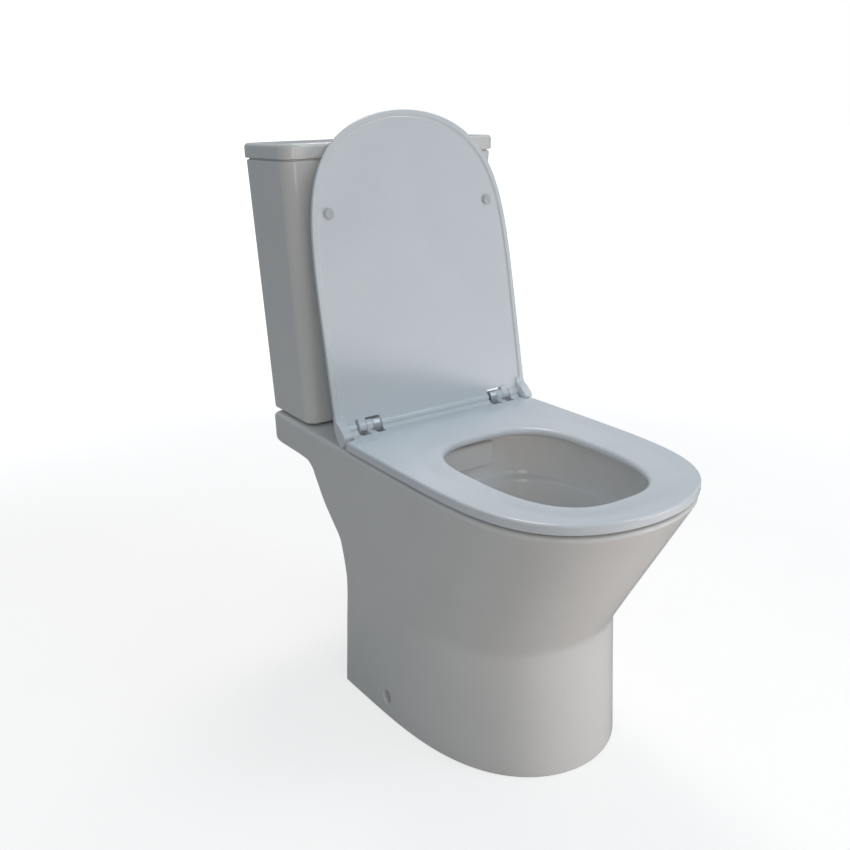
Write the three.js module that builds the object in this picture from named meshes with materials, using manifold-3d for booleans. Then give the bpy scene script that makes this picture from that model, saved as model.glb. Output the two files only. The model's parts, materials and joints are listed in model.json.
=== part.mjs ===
// Close-coupled toilet: shrouded pan, separate cistern with lid, slim seat with its cover up.
// Millimetres, +Z up. The user sits facing -Y and the wall is at +Y.
// The origin is on the floor, at the middle of the plan size.
// Distances along Y are given from the hinge line: "Ahead" is towards -Y, "Behind" towards the wall.

import * as THREE from 'three';
import { mergeVertices } from 'three/addons/utils/BufferGeometryUtils.js';
import Module from 'manifold-3d';

const wasm = await Module();
wasm.setup();

// Overall
const hingeY = 113;
const hingeZ = 441;
const gap = 0.3;
const doubleGap = gap + gap;
const overrun = 1;
const weldTolerance = 1e-4;
const nearZero = 1e-9;
const hexSides = 6;
const fineSegments = 40;
const midSegments = 24;
const smallSegments = 12;

// Pan, outside
const rimZ = 415;
const rimHalf = 178;
const rimAhead = 459;
const rimPower = 6.6;
const rimTaper = -0.01;
const footHalf = 172;
const footAhead = 355;
const footBehind = 20;
const footPower = 4;
const footTaper = 0.05;
const creaseZ = 190;
const creaseAhead = 336.5;
const deckBehind = 224;
const flankCornerR = 5;
const deckCornerR = 12;
const frontSteps = 13;
const voidSteps = 10;
const cornerSteps = 3;
const seatLoopSteps = 20;

// The rear edge of the flanks: share of the rim height, share of the deck's reach behind the hinge
const rearEdgeShares = [
  [0, 0.089], [0.292, 0.031], [0.47, 0], [0.549, 0.022], [0.588, 0.04], [0.624, 0.0625],
  [0.684, 0.165], [0.73, 0.25], [0.757, 0.29], [0.819, 0.371], [0.853, 0.424],
  [0.877, 0.527], [0.881, 0.68], [0.8825, 0.92], [0.887, 0.982], [0.896, 1], [1, 1],
];
// Rounding of the foot and of the rim: share of the rim height, inset as a share of the rim radius
const rimR = 8;
const footRoundShares = [[0, 0.3], [0.008, 0.06], [0.022, 0]];
const rimRoundShares = [[0.981, 0], [0.99, 0.12], [0.996, 0.38], [1, 0.85]];
const flankLevelShares = [0.292, 0.458, 0.47, 0.549, 0.588, 0.624];
const shelfLevelShares = [0.684, 0.73, 0.757, 0.819, 0.853, 0.877, 0.881, 0.8825, 0.887, 0.896];

// Pan, inside
const panWall = 12;
const deckUnderZ = 378;
const voidTopZ = 392;
const voidBackAhead = 84;
const skirtZ = 364;
const openBackBehind = 262;
const bowlWall = 11;
const bowlUnit = 427;
// Bowl levels: share of the rim height, then half width, front, widest place and back
// as shares of the bowl unit, then the power of the outline
const bowlShares = [
  [1.003, 0.336, 1.01, 0.574, 0.194, 2.5], [0.991, 0.3185, 0.988, 0.574, 0.211, 2.5],
  [0.978, 0.314, 0.984, 0.574, 0.2155, 2.5], [0.916, 0.3115, 0.977, 0.574, 0.218, 2.5],
  [0.872, 0.307, 0.967, 0.574, 0.2225, 2.5], [0.843, 0.297, 0.953, 0.569, 0.232, 2.5],
  [0.831, 0.281, 0.934, 0.562, 0.2505, 2.4], [0.723, 0.2505, 0.8735, 0.543, 0.265, 2.3],
  [0.602, 0.211, 0.7915, 0.52, 0.279, 2.2], [0.482, 0.166, 0.707, 0.487, 0.29, 2.1],
  [0.398, 0.136, 0.642, 0.464, 0.3, 2], [0.313, 0.108, 0.5855, 0.445, 0.314, 2],
  [0.26, 0.082, 0.543, 0.44, 0.342, 2], [0.234, 0.054, 0.5035, 0.4355, 0.37, 2],
  [0.222, 0.021, 0.4637, 0.4355, 0.4075, 2],
];
const bowlWallTopShare = 0.964;
const bowlSteps = 36;
const openingSteps = 44;
const bowlBackSteps = 24;
const trapSteps = 11;
const trapCurveSegments = 8;

// Trapway and outlet
const trapBoreR = 36;
const trapWallR = 47;
const outletZ = 180;
const outletR = 51;
const outletBoreR = 40;
const outletBehind = 118;
const outletLength = 50;
const trapUnit = 180;
// Trapway centre line: shares of the trap unit behind the hinge and above the floor
const trapShares = [
  [-1.06, 0.71], [-0.72, 0.625], [-0.47, 0.72], [-0.28, 0.97],
  [-0.08, 1.125], [0.14, 1.11], [0.33, 1.03], [0.46, 1],
];

// Flush duct and the inlet box at the back of the bowl
const cisternBehind = 160;
const ductHalf = 30;
const ductWall = 12;
const ductBottomZ = 350;
const ductTopZ = 377;
const ductRiserTopZ = 400;
const ductRiserAhead = 72;
const ductRiserBackAhead = 50;
const ductEndAhead = 96;
const ductBehind = 190;
const inletBoxLeft = 62;
const inletBoxRight = 39.8;
const inletBoxAhead = 100;
const inletBoxZ = 370;
const inletBoxTopZ = 409;
const inletWindowAhead = 77;
const inletSlotHalf = 22;
const recessR = 48;
const recessZ = 387;
const recessHoleR = 26;

// Holes in the deck and the flanks
const boltHoleR = 6;
const couplingX = 75;
const seatBoltX = 77.5;
const inletX = 120;
const inletSlotX = 22;
const inletSlotFrontBehind = 140;
const sideHoleAhead = 102;
const sideHoleZ = 35;
const sideHoleHalfY = 8.5;
const sideHoleHalfZ = 11.5;
const sideHoleCutLength = 36;

// Cistern
const tankZ = 418;
const tankTopZ = 826;
const tankBottomHalf = 170;
const tankTopHalf = 191.5;
const tankBottomFrontBehind = 105;
const tankTopFrontBehind = 91.5;
const wallBehind = 232;
const tankBottomCornerR = 20;
const tankTopCornerR = 26;
const tankBackCornerR = 8;
const tankWall = 9;
const tankFloor = 12;
const tankEdgeR = 6;
const ledgeInset = 4;
const ledgeHeight = 2.2;
const tankCornerSteps = 5;
// Rounding of the foot of the cistern: height and inset as shares of the edge radius
const tankFootShares = [[0, 0.8], [0.3, 0.25], [1, 0]];
const tankTopInsetShare = 0.7;
const tankInsideInsetShare = 0.6;

// Cistern lid
const lidZ = 828.5;
const lidTopZ = 851;
const lidHalf = 194;
const lidFrontBehind = 89.5;
const lidCornerR = 26;
const lidEdgeR = 6;
const lidFootR = 2;
const lidPlate = 10;
const lidRim = 22;
const lidLipDepth = 10;
const lidLipInset = 13.8;
const lidLipWall = 6;

// Seat ring
const ringHalf = 180;
const ringAhead = 458;
const ringPower = 6.6;
const ringZ = 419.5;
const ringTopZ = 433.5;
const ringRearR = 21.4;
const ringBehind = 20;
const ringTopR = 3.5;
const ringFootR = 3;
const openingHalf = 107;
const openingCentreAhead = 230;
const openingFrontRim = 61.5;
const openingFrontAhead = ringAhead - openingFrontRim;
const openingBackAhead = 114;
const openingPower = 2.8;
const dishDepth = 8;
const dishSpread = 45;
// Dished top round the opening: depth below the top and spread of the outline as shares
const dishShares = [
  [1, 0], [0.8, 0.008], [0.65, 0.025], [0.55, 0.055], [0.5, 0.09], [0.45, 0.267],
  [0.331, 0.444], [0.187, 0.622], [0.062, 0.8], [0, 1], [-0.04, 1.15],
];
const earSlotX = 163.5;
// Low sill across the back of the ring, hugging the roll of the cover, about the hinge axis
const sillAhead = 13;
const sillFlatAhead = 8;
const sillEndAhead = 2;
const sillTop = -3;
const earSlotAhead = 28;
// Edge rounding as shares: height of the rounding and inset of the outline
const roundShares = [[0, 0], [0.45, 0.1], [0.8, 0.42], [1, 1]];

// Seat cover, about the hinge axis, when shut
const coverHalf = 181.3;
const coverAhead = 459.5;
const coverUnder = -5.5;
const coverTop = 3.6;
const coverBehind = 4;
const coverOpenDeg = 100.8;
const coverEdgeR = 4.6;
const coverFootR = 1.4;
const coverRecessInset = 8;
const coverRecess = 3;
const coverRecessAhead = 4;
const coverRollR = 7;
const coverNotchAhead = 12;
const earInnerX = 166;
const earOuterX = 180.9;
// Ear outline when shut: shares of the ear reach, behind the hinge and above the axis
const earReach = 25.4;
const earShares = [
  [-0.87, 0.1417], [-0.04, 0.1417], [0.55, -0.04], [0.886, -0.295], [0.929, -0.374], [0.846, -0.524],
  [0.531, -0.827], [0.335, -0.937], [0.177, -0.886], [-0.3, -0.539], [-0.567, -0.2165], [-0.87, -0.2165],
];
const coverBufferX = 145;
const coverBufferAhead = 316;
const coverBufferR = 8;

// Ring buffers
const ringBufferR = 11;
const ringBufferRearX = 150;
const ringBufferRearAhead = 95;
const ringBufferFrontX = 100;
const ringBufferFrontAhead = 392;

// Hinges
const knuckleR = 9;
const notchInnerX = 104;
const notchOuterX = 147;
const notchAhead = 20;
const postInnerX = 107;
const postOuterX = 119.4;
const ringLugInnerX = 119.9;
const ringLugOuterX = 131.2;
const coverLugInnerX = 131.7;
const coverLugOuterX = 144;
const ringLugZ = 424;
const ringLugTopZ = 434.8;
const pinR = 3;
const pinEnd = 1.4;
const plateInnerX = 64;
const plateHalfY = 13;
const plateTopZ = 419.2;
const seatBoltR = 3;
const seatHeadR = 6.3;
const seatHeadHeight = 1.8;
const seatHeadSink = 0.1;
const seatBoltEndZ = 352;
const seatWasherR = 12;
const seatWasherHeight = 6.4;
const seatWasherFootShare = 0.7;
const wingHubHeight = 10;
const seatWingHubR = 8;
const wingHalf = 18;
const wingThick = 4;

// Coupling bolts
const couplingR = 4;
const couplingHoleR = 5;
const couplingHeadR = 8;
const couplingHeadHeight = 5;
const couplingEndZ = 344;
const couplingWasherR = 13;
const couplingWasherHeight = 2.7;
const deckWasherR = 15;
const deckWasherHeight = 3.2;
const couplingWingHubR = 9;

// Flush valve
const shankR = 28.7;
const shankHoleR = 29;
const shankEndZ = 388;
const valveBoreR = 23;
const valveFlangeR = 42;
const valveFlangeHeight = 5.7;
const valveSeatR = 30;
const valveSeatHeight = 5;
const valveSeatSlope = 1.5;
const valveNutR = 42;
const valveNutHeight = 12.4;
const gasketR = 47;
const gasketTopZ = 405;
const frameR = 38;
const frameRingWall = 5;
const frameRingHeight = 5;
const frameLegs = 3;
const frameLegWidth = 9;
const frameGuideShare = 0.645;
const frameCapBelowLid = 134.5;
const frameCapHeight = 18;
const frameCapPlate = 6;
const frameCapBoreR = 22;
const tubeR = 18;
const tubeBoreR = 15;
const tubeTailZ = 438;
const tubeBelowCap = 4;
const sealR = 29.5;
const sealHeight = 4.6;
const tubeFlangeR = 28;
const tubeFlangeHeight = 4;
const rodR = 4;
const rodX = 10;
const rodHoleR = 5.5;
const rodInCap = 1;

// Push buttons in the lid
const buttonBehind = 158;
const housingR = 25.7;
const housingBoreR = 22.6;
const housingFlangeR = 37;
const housingFlangeHeight = 2.7;
const housingEndZ = 818;
const housingNutR = 33;
const housingNutHeight = 8;
const housingHoleR = 26;
const buttonTopZ = 853.4;
const buttonZ = 842;
const buttonSplitX = -4;
const buttonSplit = 0.5;

// Fill valve
const fillBehind = 165;
const fillShankR = 10;
const fillShankEndZ = 382;
const fillHoleR = 10.5;
const fillFlangeR = 20;
const fillFlangeHeight = 6;
const fillWasherHeight = 2.4;
const fillColumnR = 13;
const fillHeadR = 18;
const fillHeadZ = 700;
const fillHeadHeight = 40;
const fillBoreR = 5;
const fillBoreBelowHead = 10;
const inletNutR = 19;
const inletNutHeight = 13;
const plugEndZ = 400;
const floatR = 33;
const floatBoreR = 14;
const floatBelowHead = 60;
const floatHeight = 80;
const floatWall = 3;
const floatRodX = -24;
const floatRodR = 2.5;
const floatRodBelowArm = 1;
const armPivotX = 14;
const armAboveHead = 6;
const armHeight = 7;
const armHalfY = 6;
const armEnd = 6;
const armLugHeight = 12;
const armLugHalfX = 5;
const armLugGap = 0.5;
const armLugThick = 5;

// Floor brackets
const bracketX = 155;
const bracketThick = 3;
const bracketHeight = 58;
const bracketHalfY = 14;
const bracketFoot = 34;
const bracketHoleX = 138;
const screwR = 3;
const screwHeadR = 5.6;
const screwHeadHeight = 3;
const sideScrewLength = 24;

// Derived places
const floorZ = tankZ + tankFloor;
const couplingY = hingeY + cisternBehind;
const fillY = hingeY + fillBehind;
const buttonY = hingeY + buttonBehind;
const frameCapZ = lidZ - frameCapBelowLid;
const frameGuideZ = floorZ + (frameCapZ - floorZ) * frameGuideShare;
const tubeTopZ = frameCapZ - tubeBelowCap;
const rodEndZ = frameCapZ + frameCapHeight - rodInCap;
const fillTopZ = fillHeadZ + fillHeadHeight;
const fillBoreTopZ = fillHeadZ - fillBoreBelowHead;
const floatTopZ = fillHeadZ - floatBelowHead;
const floatZ = floatTopZ - floatHeight;
const armZ = fillTopZ + armAboveHead;
const floatRodTopZ = armZ - floatRodBelowArm;

const china = new THREE.MeshStandardMaterial({ color: 0xe9eae8, roughness: 0.12, metalness: 0 });
const seatPlastic = new THREE.MeshStandardMaterial({ color: 0xe6e9ec, roughness: 0.2, metalness: 0 });
const whitePlastic = new THREE.MeshStandardMaterial({ color: 0xdfe1e0, roughness: 0.4, metalness: 0 });
const greyPlastic = new THREE.MeshStandardMaterial({ color: 0xa9acad, roughness: 0.45, metalness: 0 });
const chrome = new THREE.MeshStandardMaterial({ color: 0xc8ccd0, roughness: 0.08, metalness: 1 });
const steel = new THREE.MeshStandardMaterial({ color: 0xb4b6b8, roughness: 0.3, metalness: 1 });
const brass = new THREE.MeshStandardMaterial({ color: 0xb8975a, roughness: 0.35, metalness: 1 });
const rubber = new THREE.MeshStandardMaterial({ color: 0x232424, roughness: 0.8, metalness: 0 });
const clearRubber = new THREE.MeshStandardMaterial({ color: 0xc9ced0, roughness: 0.5, metalness: 0 });
const floatPlastic = new THREE.MeshStandardMaterial({ color: 0x3f6fa8, roughness: 0.45, metalness: 0 });

const lerp = (a, b, share) => a + (b - a) * share;
const clamp01 = (value) => Math.min(1, Math.max(0, value));

// Limits along X of a piece that is given by its inner and outer distance from the middle
const pairFor = (side) => (inner, outer) => (side > 0 ? [inner, outer] : [-outer, -inner]);

// Straight-line reading of a table of [key, value] rows
function readTable(rows, key) {
  for (let i = 1; i < rows.length; i += 1) {
    if (key <= rows[i][0]) {
      const span = rows[i][0] - rows[i - 1][0];
      return lerp(rows[i - 1][1], rows[i][1], (key - rows[i - 1][0]) / span);
    }
  }
  return rows[rows.length - 1][1];
}

// Closed geometry to a solid, turned outwards if its volume is negative
function solidOf(geometry) {
  const bare = geometry.clone();
  bare.deleteAttribute('normal');
  bare.deleteAttribute('uv');
  const merged = mergeVertices(bare, weldTolerance);
  const vertProperties = Float32Array.from(merged.attributes.position.array);
  const triVerts = Uint32Array.from(merged.index.array);
  let volume = 0;
  const a = new THREE.Vector3();
  const b = new THREE.Vector3();
  const c = new THREE.Vector3();
  for (let i = 0; i < triVerts.length; i += 3) {
    a.fromArray(vertProperties, 3 * triVerts[i]);
    b.fromArray(vertProperties, 3 * triVerts[i + 1]);
    c.fromArray(vertProperties, 3 * triVerts[i + 2]);
    volume += a.dot(b.cross(c));
  }
  if (volume < 0) {
    for (let i = 0; i < triVerts.length; i += 3) {
      [triVerts[i + 1], triVerts[i + 2]] = [triVerts[i + 2], triVerts[i + 1]];
    }
  }
  return new wasm.Manifold(new wasm.Mesh({ numProp: 3, vertProperties, triVerts }));
}

function geometryOf(solid) {
  const mesh = solid.getMesh();
  const geometry = new THREE.BufferGeometry();
  geometry.setAttribute('position', new THREE.BufferAttribute(Float32Array.from(mesh.vertProperties), 3));
  geometry.setIndex(new THREE.BufferAttribute(Uint32Array.from(mesh.triVerts), 1));
  geometry.computeVertexNormals();
  return geometry;
}

const joined = (...solids) => solids.reduce((sum, next) => sum.add(next));
const cutBy = (solid, ...tools) => tools.reduce((rest, tool) => rest.subtract(tool), solid);

function box(x0, x1, y0, y1, z0, z1) {
  const geometry = new THREE.BoxGeometry(x1 - x0, y1 - y0, z1 - z0);
  geometry.translate((x0 + x1) / 2, (y0 + y1) / 2, (z0 + z1) / 2);
  return solidOf(geometry);
}

// Upright cylinder
function drum(radius, z0, z1, x = 0, y = 0, segments = midSegments) {
  const geometry = new THREE.CylinderGeometry(radius, radius, z1 - z0, segments);
  geometry.rotateX(Math.PI / 2);
  geometry.translate(x, y, (z0 + z1) / 2);
  return solidOf(geometry);
}

// Cylinder along X
function bar(radius, x0, x1, y, z, segments = midSegments) {
  const geometry = new THREE.CylinderGeometry(radius, radius, x1 - x0, segments);
  geometry.rotateZ(Math.PI / 2);
  geometry.translate((x0 + x1) / 2, y, z);
  return solidOf(geometry);
}

// Turned piece about Z: the profile is a closed run of [radius, height]
function turned(profile, segments = midSegments) {
  const points = [...profile, profile[0]].map(([r, z]) => new THREE.Vector2(r, z));
  const geometry = new THREE.LatheGeometry(points, segments);
  geometry.rotateX(Math.PI / 2);
  return solidOf(geometry);
}

const sleeve = (inner, outer, z0, z1, segments) =>
  turned([[inner, z0], [outer, z0], [outer, z1], [inner, z1]], segments);

const hexNut = (inner, outer, z0, z1) =>
  cutBy(drum(outer, z0, z1, 0, 0, hexSides), drum(inner, z0 - overrun, z1 + overrun));

// Solid through a stack of closed outlines, each { z, loop } with the same number of points
function loft(levels) {
  const count = levels[0].loop.length;
  const positions = [];
  const indices = [];
  for (const { z, loop } of levels) {
    for (const [x, y] of loop) {
      positions.push(x, y, z);
    }
  }
  for (let k = 0; k < levels.length - 1; k += 1) {
    for (let i = 0; i < count; i += 1) {
      const j = (i + 1) % count;
      const low = k * count;
      const high = low + count;
      indices.push(low + i, low + j, high + j, low + i, high + j, high + i);
    }
  }
  for (const [k, flip] of [[0, true], [levels.length - 1, false]]) {
    const { z, loop } = levels[k];
    const middleX = loop.reduce((sum, p) => sum + p[0], 0) / count;
    const middleY = loop.reduce((sum, p) => sum + p[1], 0) / count;
    const middle = positions.length / 3;
    positions.push(middleX, middleY, z);
    for (let i = 0; i < count; i += 1) {
      const j = (i + 1) % count;
      indices.push(middle, k * count + (flip ? j : i), k * count + (flip ? i : j));
    }
  }
  const geometry = new THREE.BufferGeometry();
  geometry.setAttribute('position', new THREE.Float32BufferAttribute(positions, 3));
  geometry.setIndex(indices);
  return solidOf(geometry);
}

// Loop that mirrors its right-hand half: front middle, right side, back middle, left side
function mirroredLoop(half) {
  const left = half.slice(1, -1).reverse().map(([x, y]) => [-x, y]);
  return [...half, ...left];
}

function arc(cx, cy, radius, from, to, steps) {
  const points = [];
  for (let i = 0; i <= steps; i += 1) {
    const angle = lerp(from, to, i / steps);
    points.push([cx + radius * Math.cos(angle), cy + radius * Math.sin(angle)]);
  }
  return points;
}

// D outline: rounded front, straight flanks, square back with small corners
function deeLoop({ half, start, ahead, power, taper, behind, cornerR, steps }) {
  const points = [];
  for (let i = 0; i < steps; i += 1) {
    const turn = (1 - i / steps) * Math.PI / 2;
    const along = Math.sin(turn) ** (2 / power);
    points.push([
      i === 0 ? 0 : half * (1 - taper * along) * Math.cos(turn),
      hingeY + start - (ahead + start) * along,
    ]);
  }
  points.push(...arc(half - cornerR, hingeY + behind - cornerR, cornerR, 0, Math.PI / 2, cornerSteps));
  points.push([0, hingeY + behind]);
  return mirroredLoop(points);
}

// Rounded box outline
function tankLoop({ half, front, back, frontR, backR }) {
  const points = [[0, hingeY + front]];
  points.push(...arc(half - frontR, hingeY + front + frontR, frontR, -Math.PI / 2, 0, tankCornerSteps));
  points.push(...arc(half - backR, hingeY + back - backR, backR, 0, Math.PI / 2, cornerSteps));
  points.push([0, hingeY + back]);
  return mirroredLoop(points);
}

// Oval outline with its own front and back reach
function ovalLoop({ half, front, centre, back, power, steps }) {
  const points = [];
  for (let i = 0; i < steps; i += 1) {
    const turn = (i / steps) * 2 * Math.PI - Math.PI / 2;
    const cos = Math.cos(turn);
    const sin = Math.sin(turn);
    const x = half * Math.sign(cos) * Math.abs(cos) ** (2 / power);
    const reach = sin < 0 ? front - centre : centre - back;
    const y = hingeY - centre + reach * Math.sign(sin) * Math.abs(sin) ** (2 / power);
    points.push([Math.abs(cos) < nearZero ? 0 : x, y]);
  }
  return points;
}

// Pan section at a height, drawn in by an inset; the back can be set elsewhere
function panLevel(z, inset = 0, behind = null, steps = frontSteps) {
  const rise = z / rimZ;
  const flare = clamp01((z - creaseZ) / (rimZ - creaseZ));
  const back = behind === null ? deckBehind * readTable(rearEdgeShares, rise) - inset : behind;
  const ahead = z < creaseZ
    ? lerp(footAhead, creaseAhead, z / creaseZ)
    : lerp(creaseAhead, rimAhead, flare);
  return {
    z,
    loop: deeLoop({
      half: lerp(footHalf, rimHalf, rise) - inset,
      start: Math.min(lerp(footBehind, 0, flare), back),
      ahead: ahead - inset,
      power: lerp(footPower, rimPower, flare),
      taper: lerp(footTaper, rimTaper, flare),
      behind: back,
      cornerR: z > skirtZ && behind === null ? deckCornerR : flankCornerR,
      steps,
    }),
  };
}

function bowlLevel(row, wall, steps) {
  const [rise, half, front, centre, back, power] = row;
  const low = bowlShares[bowlShares.length - 1][0];
  const sink = clamp01(1 - (rise - low) / low);
  return {
    z: rise * rimZ - wall * sink,
    loop: ovalLoop({
      half: half * bowlUnit + wall,
      front: front * bowlUnit + wall,
      centre: centre * bowlUnit,
      back: back * bowlUnit - wall,
      power,
      steps,
    }),
  };
}

// Closed tube along the trapway
function trapTube(radius) {
  const points = trapShares.map(([y, z]) => new THREE.Vector3(0, hingeY + y * trapUnit, z * trapUnit));
  const shape = new THREE.Shape();
  shape.absarc(0, 0, radius, 0, 2 * Math.PI, false);
  return solidOf(new THREE.ExtrudeGeometry(shape, {
    steps: trapSteps,
    curveSegments: trapCurveSegments,
    extrudePath: new THREE.CatmullRomCurve3(points),
  }));
}

// Cylinder along Y
function barY(radius, y0, y1, x, z, segments = fineSegments) {
  const geometry = new THREE.CylinderGeometry(radius, radius, y1 - y0, segments);
  geometry.translate(x, (y0 + y1) / 2, z);
  return solidOf(geometry);
}

function makePan() {
  const outerLevels = [
    ...footRoundShares.map(([share, inset]) => panLevel(share * rimZ, inset * rimR)),
    ...flankLevelShares.map((share) => panLevel(share * rimZ)),
    ...shelfLevelShares.map((share) => panLevel(share * rimZ)),
    ...rimRoundShares.map(([share, inset]) => panLevel(share * rimZ, inset * rimR)),
  ];
  const outer = loft(outerLevels);

  const lowerVoid = loft([
    panLevel(-overrun, panWall, openBackBehind, voidSteps),
    panLevel(creaseZ, panWall, openBackBehind, voidSteps),
    panLevel(skirtZ - gap, panWall, openBackBehind, voidSteps),
    panLevel(skirtZ, panWall, deckBehind - panWall, voidSteps),
    panLevel(deckUnderZ, panWall, deckBehind - panWall, voidSteps),
  ]);
  const rimVoid = loft([
    panLevel(skirtZ, panWall, -voidBackAhead, voidSteps),
    panLevel(voidTopZ, panWall, -voidBackAhead, voidSteps),
  ]);
  const lowRows = bowlShares.filter(([rise]) => rise < bowlWallTopShare);
  const bowlOuter = loft([
    bowlLevel([bowlWallTopShare, ...lowRows[0].slice(1)], bowlWall, bowlBackSteps),
    ...lowRows.filter((row, i) => i % 2 === 1).map((row) => bowlLevel(row, bowlWall, bowlBackSteps)),
  ].reverse());
  const bowlCavity = loft(bowlShares.map((row) => bowlLevel(row, 0, bowlSteps)).reverse());

  const outletStart = hingeY + outletBehind - outletLength;
  const outletEnd = hingeY + outletBehind;
  const trapOuter = joined(trapTube(trapWallR), barY(outletR, outletStart, outletEnd, 0, outletZ));
  const trapBore = joined(
    trapTube(trapBoreR),
    barY(outletBoreR, outletStart + bowlWall, outletEnd + overrun, 0, outletZ),
  );
  const bulge = box(
    -ductHalf - ductWall, ductHalf + ductWall,
    hingeY - voidBackAhead, hingeY + deckBehind - panWall + overrun,
    ductBottomZ - ductWall, deckUnderZ + overrun,
  );
  const inletBox = box(
    -inletBoxLeft, inletBoxRight,
    hingeY - inletBoxAhead, hingeY - ductRiserAhead,
    inletBoxZ, inletBoxTopZ,
  );
  const duct = joined(
    box(-ductHalf, ductHalf, hingeY - ductRiserAhead, hingeY + ductBehind, ductBottomZ, ductTopZ),
    box(
      -ductHalf, ductHalf,
      hingeY - ductRiserAhead, hingeY - ductRiserBackAhead,
      ductBottomZ, ductRiserTopZ,
    ),
    box(
      -ductHalf, ductHalf,
      hingeY - ductEndAhead, hingeY - ductRiserAhead + overrun,
      ductTopZ, ductRiserTopZ,
    ),
    box(
      -ductHalf, inletBoxRight + overrun,
      hingeY - ductEndAhead, hingeY - inletWindowAhead,
      ductTopZ, ductRiserTopZ,
    ),
    box(
      -inletSlotHalf, inletSlotHalf,
      hingeY - ductEndAhead - overrun, hingeY - inletWindowAhead,
      inletBoxZ - overrun, ductTopZ + overrun,
    ),
  );
  const recess = joined(
    drum(recessR, recessZ, rimZ + overrun, 0, couplingY, fineSegments),
    drum(recessHoleR, ductBottomZ + overrun, recessZ + overrun, 0, couplingY),
  );
  const holes = [];
  for (const side of [-1, 1]) {
    for (const [x, y] of [[couplingX, couplingY], [seatBoltX, hingeY]]) {
      holes.push(drum(boltHoleR, deckUnderZ - overrun, rimZ + overrun, side * x, y, smallSegments));
    }
    const slotX = side * inletX;
    holes.push(box(
      slotX - inletSlotX, slotX + inletSlotX,
      hingeY + inletSlotFrontBehind, hingeY + deckBehind + overrun,
      skirtZ - overrun, rimZ + overrun,
    ));
    const oval = new THREE.CylinderGeometry(1, 1, sideHoleCutLength, midSegments);
    oval.rotateZ(Math.PI / 2);
    oval.scale(1, sideHoleHalfY, sideHoleHalfZ);
    oval.translate(side * (footHalf - panWall / 2), hingeY - sideHoleAhead, sideHoleZ);
    holes.push(solidOf(oval));
  }
  const shell = joined(cutBy(outer, lowerVoid, rimVoid), bowlOuter, trapOuter, bulge);
  const hollowed = joined(cutBy(shell, bowlCavity, trapBore), inletBox);
  return cutBy(hollowed, duct, recess, ...holes);
}

function tankSection(z, inset) {
  const rise = clamp01((z - tankZ) / (tankTopZ - tankZ));
  const frontR = lerp(tankBottomCornerR, tankTopCornerR, rise);
  return {
    z,
    loop: tankLoop({
      half: lerp(tankBottomHalf, tankTopHalf, rise) - inset,
      front: lerp(tankBottomFrontBehind, tankTopFrontBehind, rise) + inset,
      back: wallBehind - inset,
      frontR: Math.max(frontR - inset, tankEdgeR),
      backR: Math.max(tankBackCornerR - inset, lidFootR),
    }),
  };
}

function makeTank() {
  const shell = loft([
    ...tankFootShares.map(([rise, inset]) => tankSection(tankZ + rise * tankEdgeR, inset * tankEdgeR)),
    tankSection(tankTopZ - lidFootR, 0),
    tankSection(tankTopZ, lidFootR * tankTopInsetShare),
  ]);
  const ledge = loft([
    tankSection(tankTopZ - overrun, ledgeInset),
    tankSection(tankTopZ + ledgeHeight, ledgeInset),
  ]);
  const inside = loft([
    tankSection(floorZ, tankWall + tankEdgeR * tankInsideInsetShare),
    tankSection(floorZ + tankEdgeR, tankWall),
    tankSection(tankTopZ + ledgeHeight + overrun, tankWall),
  ]);
  const holes = [drum(shankHoleR, tankZ - overrun, floorZ + overrun, 0, couplingY)];
  for (const side of [-1, 1]) {
    for (const [radius, x, y] of [[couplingHoleR, couplingX, couplingY], [fillHoleR, inletX, fillY]]) {
      holes.push(drum(radius, tankZ - overrun, floorZ + overrun, side * x, y));
    }
  }
  return cutBy(joined(shell, ledge), inside, ...holes);
}

function lidSection(z, inset) {
  return {
    z,
    loop: tankLoop({
      half: lidHalf - inset,
      front: lidFrontBehind + inset,
      back: wallBehind - inset,
      frontR: Math.max(lidCornerR - inset, tankEdgeR),
      backR: Math.max(tankBackCornerR - inset, lidFootR),
    }),
  };
}

function makeLid() {
  const plate = loft([
    lidSection(lidZ, lidFootR),
    lidSection(lidZ + lidFootR, 0),
    ...roundShares.map(([rise, inset]) => lidSection(lidTopZ - lidEdgeR * (1 - rise), inset * lidEdgeR)),
  ]);
  const pocket = loft([
    lidSection(lidZ - overrun, lidRim),
    lidSection(lidTopZ - lidPlate, lidRim),
  ]);
  const lip = cutBy(
    loft([lidSection(lidZ - lidLipDepth, lidLipInset), lidSection(lidZ + overrun, lidLipInset)]),
    loft([
      lidSection(lidZ - lidLipDepth - overrun, lidLipInset + lidLipWall),
      lidSection(lidZ + overrun * 2, lidLipInset + lidLipWall),
    ]),
  );
  const hole = drum(housingHoleR, lidZ - overrun, lidTopZ + overrun, 0, buttonY, fineSegments);
  return cutBy(joined(cutBy(plate, pocket), lip), hole);
}

function ringLevel(z, inset) {
  return {
    z,
    loop: deeLoop({
      half: ringHalf - inset,
      start: 0,
      ahead: ringAhead - inset,
      power: ringPower,
      taper: 0,
      behind: ringBehind,
      cornerR: flankCornerR,
      steps: seatLoopSteps,
    }),
  };
}

function openingLevel(z, spread) {
  return {
    z,
    loop: ovalLoop({
      half: openingHalf + spread,
      front: openingFrontAhead + spread,
      centre: openingCentreAhead,
      back: openingBackAhead - spread,
      power: openingPower,
      steps: openingSteps,
    }),
  };
}

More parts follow.
